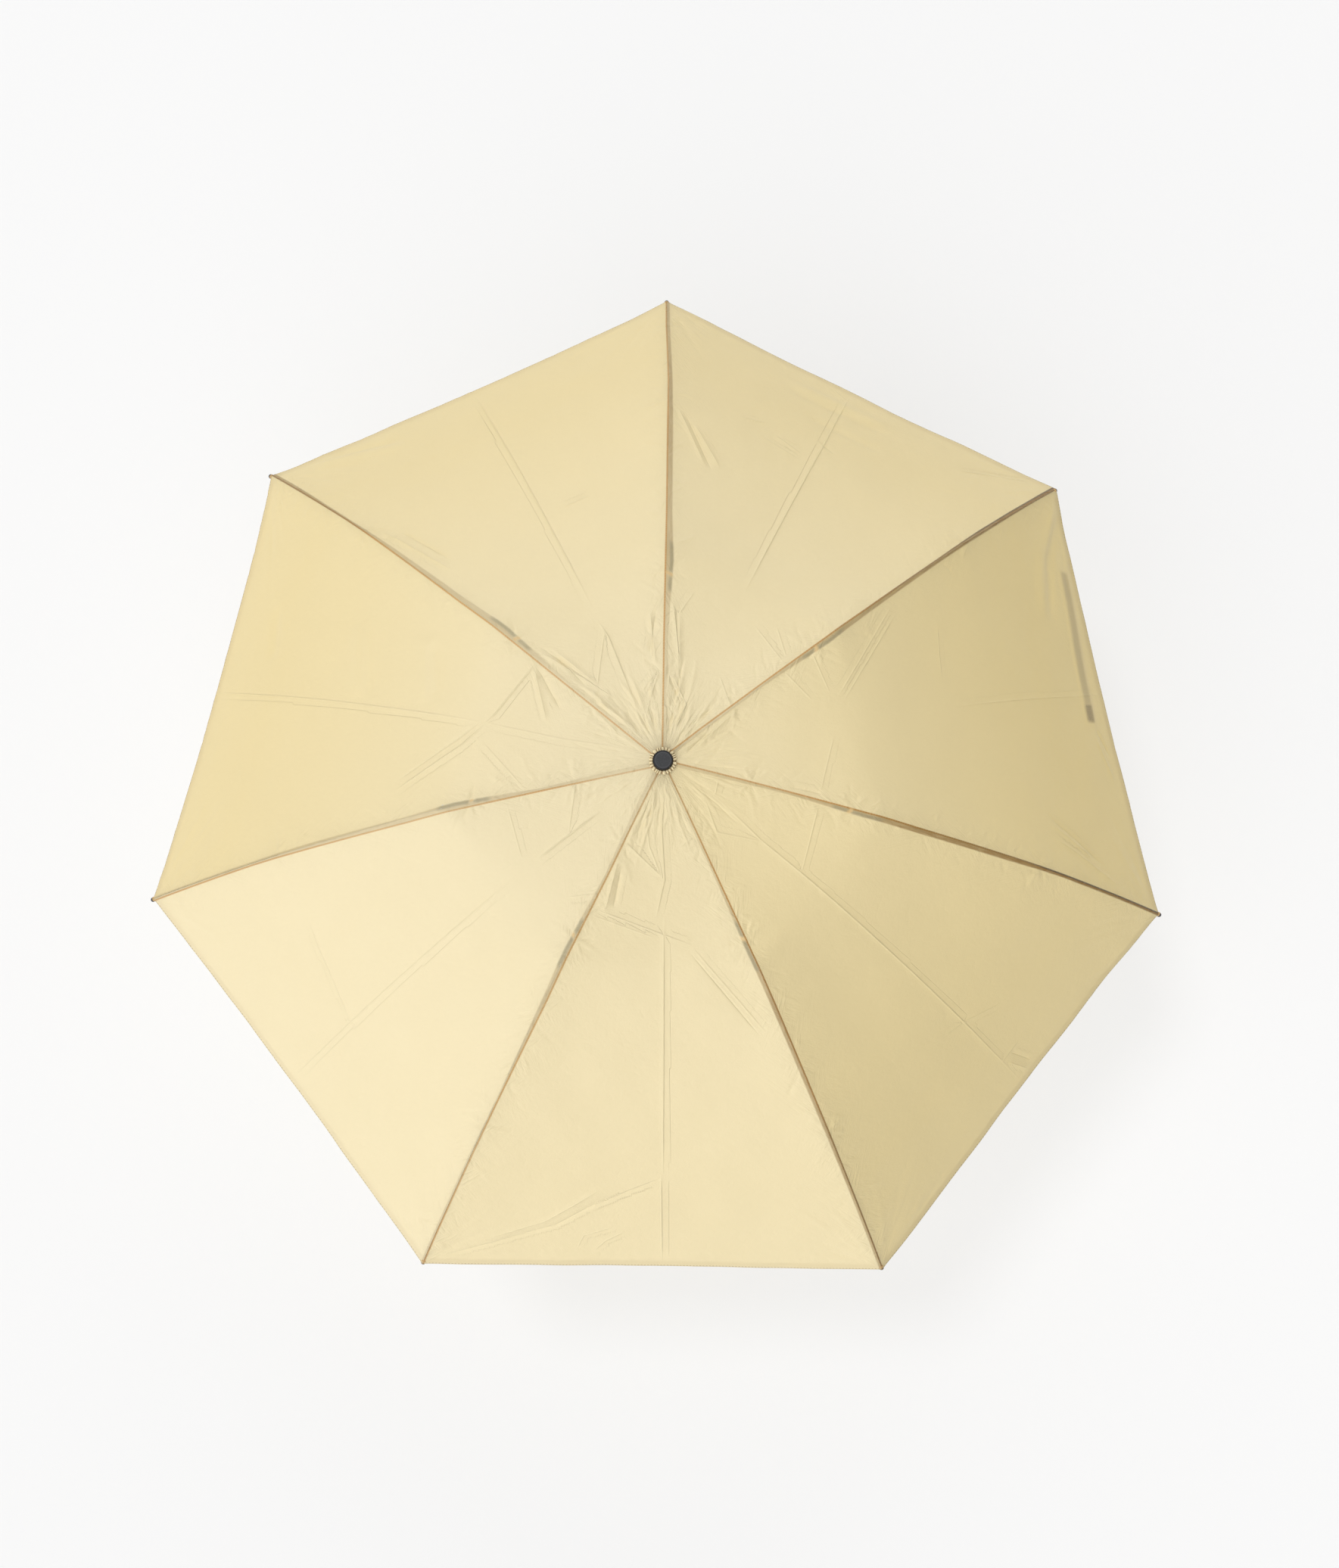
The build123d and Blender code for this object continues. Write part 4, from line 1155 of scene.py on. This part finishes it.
def strap_paint(p, color, where):
    """Painted shadows of what lies under the cloth, the steel at the first folds and the strap with its patch, and
    the orange of the thread at the first folds.
    """
    # Painted shadow of the steel at the first folds.
    color = p.mix(p.times(p.field("bracket"), 0.46), color, BRACKET_SHADOW_SHOWN)
    color = p.mix(p.times(p.field("tie"), 0.6), color, TIE_ORANGE)
    # Painted shadow of the strap under the cloth.
    color = p.mix(p.times(p.field("strap"), 0.27), color, (0.30, 0.24, 0.13))
    # Painted shadow of the hook tape patch, mottled.
    mottle = p.step(p.noise(where, 1.1, detail=3, roughness=0.7), 0.42, 0.6)
    patch = p.times(p.field("patch"), p.calc("MULTIPLY_ADD", mottle, 0.5, 0.25))
    return p.mix(patch, color, (0.20, 0.125, 0.05))


def fine_creases(p, along, across, seam):
    """Height in millimetres of creases too fine for the mesh: round the cap, by the ribs and all over."""
    fan = p.join(p.calc("DIVIDE", across, along), p.times(along, 0.0022))
    near_cap = p.times(p.step(along, 130, 30), p.field("gathered"))
    total = p.times(p.creases(fan, 15, 3), p.times(near_cap, 2.0))
    beside = p.calc("ABSOLUTE", seam)
    near_rib = p.calc("EXPONENT", p.times(beside, -0.07))
    patches = p.noise(p.join(along, p.times(seam, 0.3)), 0.045, detail=1)
    for degrees, low, high in ((33, 0.42, 0.62), (-38, 0.58, 0.38)):
        c, s = math.cos(math.radians(degrees)), math.sin(math.radians(degrees))
        run = p.plus(p.times(along, c), p.times(beside, s))
        side = p.minus(p.times(beside, c), p.times(along, s))
        furrows = p.creases(p.join(p.times(run, 0.22), side), 0.20, 3)
        share = p.times(near_rib, p.step(patches, low, high))
        total = p.calc("MULTIPLY_ADD", furrows, p.times(share, 2.7), total)
    all_over = p.creases(p.join(along, across), 0.028, 4)
    return p.calc("MULTIPLY_ADD", all_over, 1.15, total)


def cloth_material():
    """Thin plain-woven polyester: weave, creases, seams and hem, with painted shade on the gores and seams and
    painted shadows of what lies under it.
    """
    p = Paint("cream_cloth")
    along, across, seam = p.field("along"), p.field("across"), p.field("seam")
    where = p.join(along, across)
    cloudy = p.noise(where, 0.012, detail=3)
    # Painted shade: each gore deeper and yellower where less light falls on it, paler where it is lit.
    color = p.mix(p.field("warmth"), CREAM, PAINTED_SHADE_CREAM)
    color = p.mix(p.times(cloudy, 0.16), color, (0.80, 0.66, 0.36))
    slubs = p.noise(p.join(p.times(along, 0.06), across), 2.2, detail=1)
    color = p.mix(p.times(slubs, 0.10), color, TAN)
    color = seam_paint(p, color, along, seam)
    color = strap_paint(p, color, where)
    to_rim = p.field("to_rim")
    pitch = p.calc("FRACT", p.calc("DIVIDE", across, HEM_STITCH))
    dashes = p.times(p.band(to_rim, 0.7, 1.5, 0.25), p.band(pitch, 0.2, 0.7, 0.1))
    color = p.mix(p.times(dashes, 0.45), color, SEAM_DARK)
    edge = p.step(to_rim, 0.9, 0.3)
    color = p.mix(p.times(edge, 0.3), color, SEAM_DARK)
    weave = plain_weave(p, along, across)
    crinkle = p.noise(where, 0.25, detail=4, roughness=0.6)
    off = p.calc("DIVIDE", p.field("from_line"), LINE_WIDTH)
    bell = p.calc("EXPONENT", p.times(p.times(off, off), -1.0))
    pressed = p.times(bell, p.field("line_height"))
    fine = p.plus(p.times(weave, 0.006), p.times(crinkle, 0.2))
    fine = p.plus(fine, fine_creases(p, along, across, seam))
    normal = p.bump(p.plus(fine, pressed), 1.0 * MM, 1.0)
    front = p.surface(
        Base_Color=color,
        Roughness=0.5,
        Specular_IOR_Level=0.7,
        Sheen_Weight=0.12,
        Sheen_Roughness=0.4,
        Normal=normal,
    )
    through = p.node("ShaderNodeBsdfTranslucent")
    p.put(color, through.inputs["Color"])
    p.put(normal, through.inputs["Normal"])
    return p.done(p.blend(0.15, front, through.outputs[0]))


def collar_material():
    """The same cloth where it is gathered: cream folds with brown shadow and thread in their valleys, and painted
    shade where the roll turns under.
    """
    p = Paint("collar_cloth")
    fine = p.noise(p.object_place(), 900, detail=3)
    color = p.mix(fine, (0.93, 0.80, 0.50), (0.86, 0.72, 0.42))
    color = p.mix(p.times(p.step(p.field("valley"), 0.15, 0.8), 0.85), color, (0.22, 0.12, 0.04))
    # Painted shade under the roll's outer edge, where it turns in below.
    color = p.mix(p.times(p.step(p.field("down"), 0.44, 0.6), 0.75), color, (0.22, 0.13, 0.05))
    normal = p.bump(fine, 0.1 * MM, 0.6)
    return p.done(p.surface(Base_Color=color, Roughness=0.6, Specular_IOR_Level=0.4, Normal=normal))


def strap_material():
    """The strap's own cloth, doubled, with a line of stitches inside each edge."""
    p = Paint("strap_cloth")
    run, side = p.field("run"), p.field("side")
    weave = plain_weave(p, run, side)
    cloudy = p.noise(p.join(run, side), 0.12, detail=3)
    color = p.mix(cloudy, (0.88, 0.74, 0.42), (0.78, 0.63, 0.33))
    beside = p.band(p.calc("ABSOLUTE", side), 5.1, 5.6, 0.15)
    pitch = p.calc("FRACT", p.calc("DIVIDE", run, STRAP_STITCH))
    dashes = p.times(beside, p.band(pitch, 0.2, 0.75, 0.08))
    color = p.mix(p.times(dashes, 0.8), color, (0.36, 0.22, 0.10))
    height = p.plus(p.times(weave, 0.02), p.times(dashes, -0.25))
    return p.done(p.surface(Base_Color=color, Roughness=0.62, Normal=p.bump(height, 0.6 * MM)))


def patch_material():
    """Brown hook tape: a dense field of small hooks with a smooth border."""
    p = Paint("hook_tape")
    where = p.join(p.field("run"), p.field("side"))
    hooks = p.node("ShaderNodeTexVoronoi")
    p.put(where, hooks.inputs["Vector"])
    p.put(1.6, hooks.inputs["Scale"])
    inside = p.step(p.calc("ABSOLUTE", p.field("side")), 5.4, 5.0)
    dots = p.times(p.step(hooks.outputs["Distance"], 0.45, 0.1), inside)
    color = p.mix(dots, (0.10, 0.065, 0.03), (0.30, 0.20, 0.10))
    return p.done(p.surface(Base_Color=color, Roughness=0.75, Normal=p.bump(dots, 0.4 * MM)))


def cap_material():
    """Dark grey moulded disc with a fine ring round it and a blacker scalloped rim."""
    p = Paint("cap")
    where = p.object_place()
    radius = p.node("ShaderNodeVectorMath", operation="LENGTH")
    flat = p.node("ShaderNodeVectorMath", operation="MULTIPLY")
    p.put(where, flat.inputs[0])
    flat.inputs[1].default_value = (1 / MM, 1 / MM, 0)
    p.put(flat.outputs[0], radius.inputs[0])
    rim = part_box("top_cap")[1].x / MM
    speckle = p.noise(where, 1600, detail=4)
    color = p.mix(p.step(speckle, 0.35, 0.7), (0.030, 0.031, 0.033), (0.048, 0.049, 0.052))
    ring = p.band(radius.outputs["Value"], rim - 2.1, rim - 1.7, 0.2)
    color = p.mix(p.times(ring, 0.5), color, (0.10, 0.10, 0.105))
    color = p.mix(p.step(radius.outputs["Value"], rim - 1.3, rim - 0.9), color, (0.006, 0.006, 0.007))
    shader = p.surface(
        Base_Color=color, Roughness=0.55, Specular_IOR_Level=0.3, Normal=p.bump(speckle, 0.05 * MM, 0.6)
    )
    return p.done(shader)


def plain_material(name, color, other, roughness, metallic=0.0, scale=400.0, bump=0.03, coat=0.0):
    """Moulded, painted or drawn stock: two close colours in fine noise, uneven gloss and a light bump."""
    p = Paint(name)
    where = p.object_place()
    fine = p.noise(where, scale, detail=4)
    broad = p.noise(where, 30.0, detail=3)
    shine = p.calc("MULTIPLY_ADD", broad, 0.16, roughness - 0.08)
    surface = p.surface(
        Base_Color=p.mix(p.step(p.times(p.plus(fine, broad), 0.5), 0.35, 0.65), color, other),
        Roughness=shine,
        Metallic=metallic,
        Coat_Weight=coat,
        Normal=p.bump(fine, bump * MM, 0.6),
    )
    return p.done(surface)


# Of each of the record's slots: two colours, roughness, metal, scale of the noise, bump in mm and coat.
STOCK = {
    "rib_metal": ((0.50, 0.51, 0.52), (0.62, 0.63, 0.64), 0.36, 1.0, 900, 0.02),
    "rod": ((0.030, 0.030, 0.032), (0.05, 0.05, 0.052), 0.34, 0.0, 900, 0.02),
    "spring_steel": ((0.50, 0.50, 0.51), (0.62, 0.62, 0.63), 0.26, 1.0, 900, 0.02),
    "shaft": ((0.018, 0.018, 0.020), (0.03, 0.03, 0.033), 0.32, 0.0, 600, 0.02, 0.3),
    "moulding": ((0.018, 0.018, 0.020), (0.032, 0.032, 0.035), 0.5, 0.0, 900, 0.05),
    "button": ((0.10, 0.105, 0.11), (0.15, 0.155, 0.16), 0.42, 0.0, 900, 0.04),
    "grip": ((0.016, 0.016, 0.018), (0.030, 0.030, 0.033), 0.62, 0.0, 1500, 0.08),
    "grip_trim": ((0.02, 0.02, 0.022), (0.035, 0.035, 0.038), 0.34, 0.0, 700, 0.02),
}


def give_slots_their_materials():
    """One procedural material for each of the record's slots, put on the solids that stay shown."""
    looks = {name: plain_material(name, *look) for name, look in STOCK.items()}
    looks["cap"] = cap_material()
    for part in frame["record"]["subparts"]:
        if part["material_slot"] in looks:
            solid = frame["nodes"][part["node"]]
            for slot in solid.material_slots:
                slot.material = looks[part["material_slot"]]
            if not solid.material_slots:
                solid.data.materials.append(looks[part["material_slot"]])


# ---------------------------------------------------------------- stage, lights and camera
def make_floor():
    """A pale floor that shows as near white to the camera and keeps the umbrella's shadow."""
    p = Paint("floor")
    seen = p.node("ShaderNodeEmission")
    seen.inputs["Color"].default_value = (0.995, 0.99, 0.98, 1)
    lit = p.node("ShaderNodeBsdfDiffuse")
    lit.inputs["Color"].default_value = (0.945, 0.955, 0.97, 1)
    share = p.times(p.node("ShaderNodeLightPath").outputs["Is Camera Ray"], 0.6)
    blend = p.blend(share, lit.outputs[0], seen.outputs[0])
    half = 30.0
    mesh = bpy.data.meshes.new("floor")
    corners = [(-half, -half, 0), (half, -half, 0), (half, half, 0), (-half, half, 0)]
    mesh.from_pydata(corners, [], [(0, 1, 2, 3)])
    floor = bpy.data.objects.new("floor", mesh)
    floor.location.z = -0.0005
    bpy.context.scene.collection.objects.link(floor)
    mesh.materials.append(p.done(blend))


def make_sun(name, azimuth_degrees, elevation_degrees, strength, angle_degrees):
    """A distant lamp that shines from an azimuth (from +X towards +Y) and an elevation."""
    lamp = bpy.data.lights.new(name, "SUN")
    lamp.energy = strength
    lamp.angle = math.radians(angle_degrees)
    sun = bpy.data.objects.new(name, lamp)
    sun.rotation_euler = (0, math.radians(90 - elevation_degrees), math.radians(azimuth_degrees))
    bpy.context.scene.collection.objects.link(sun)


def make_world(strength):
    """Even light from all round, with a brighter backdrop where the camera or a reflection sees it."""
    world = bpy.data.worlds.new("studio")
    bpy.context.scene.world = world
    world.use_nodes = True
    tree = world.node_tree
    tree.nodes.clear()
    light = tree.nodes.new("ShaderNodeBackground")
    light.inputs["Strength"].default_value = strength
    backdrop = tree.nodes.new("ShaderNodeBackground")
    path = tree.nodes.new("ShaderNodeLightPath")
    seen = tree.nodes.new("ShaderNodeMath")
    seen.operation = "MAXIMUM"
    tree.links.new(path.outputs["Is Camera Ray"], seen.inputs[0])
    tree.links.new(path.outputs["Is Glossy Ray"], seen.inputs[1])
    blend = tree.nodes.new("ShaderNodeMixShader")
    tree.links.new(seen.outputs[0], blend.inputs[0])
    tree.links.new(light.outputs[0], blend.inputs[1])
    tree.links.new(backdrop.outputs[0], blend.inputs[2])
    tree.links.new(blend.outputs[0], tree.nodes.new("ShaderNodeOutputWorld").inputs[0])


def make_camera():
    """The photo's camera, fitted to the seven tips and the cap."""
    lens = bpy.data.cameras.new("camera")
    lens.lens = 48.0
    lens.sensor_width = 36.0
    camera = bpy.data.objects.new("camera", lens)
    camera.location = (-0.0222, -0.2659, 2.3214)
    camera.rotation_euler = [math.radians(angle) for angle in (7.89, -1.02, 0.78)]
    bpy.context.scene.collection.objects.link(camera)
    bpy.context.scene.camera = camera


cloth = cloth_material()
strap_cloths = strap_material(), patch_material()
for number in range(1, RIB_COUNT + 1):
    cut_panel(Panel(number), cloth, strap_cloths)
make_collar(collar_material())
make_threads(plain_material("thread", (0.60, 0.40, 0.18), (0.70, 0.48, 0.22), 0.7))
give_slots_their_materials()
make_floor()
make_sun("key", 141, 67, 0.64, 14)
make_sun("left", 240, 38, 2.0, 80)
make_sun("back", 88, 14, 1.4, 60)
make_world(0.29)
make_camera()
bpy.context.scene.view_settings.view_transform = "Standard"
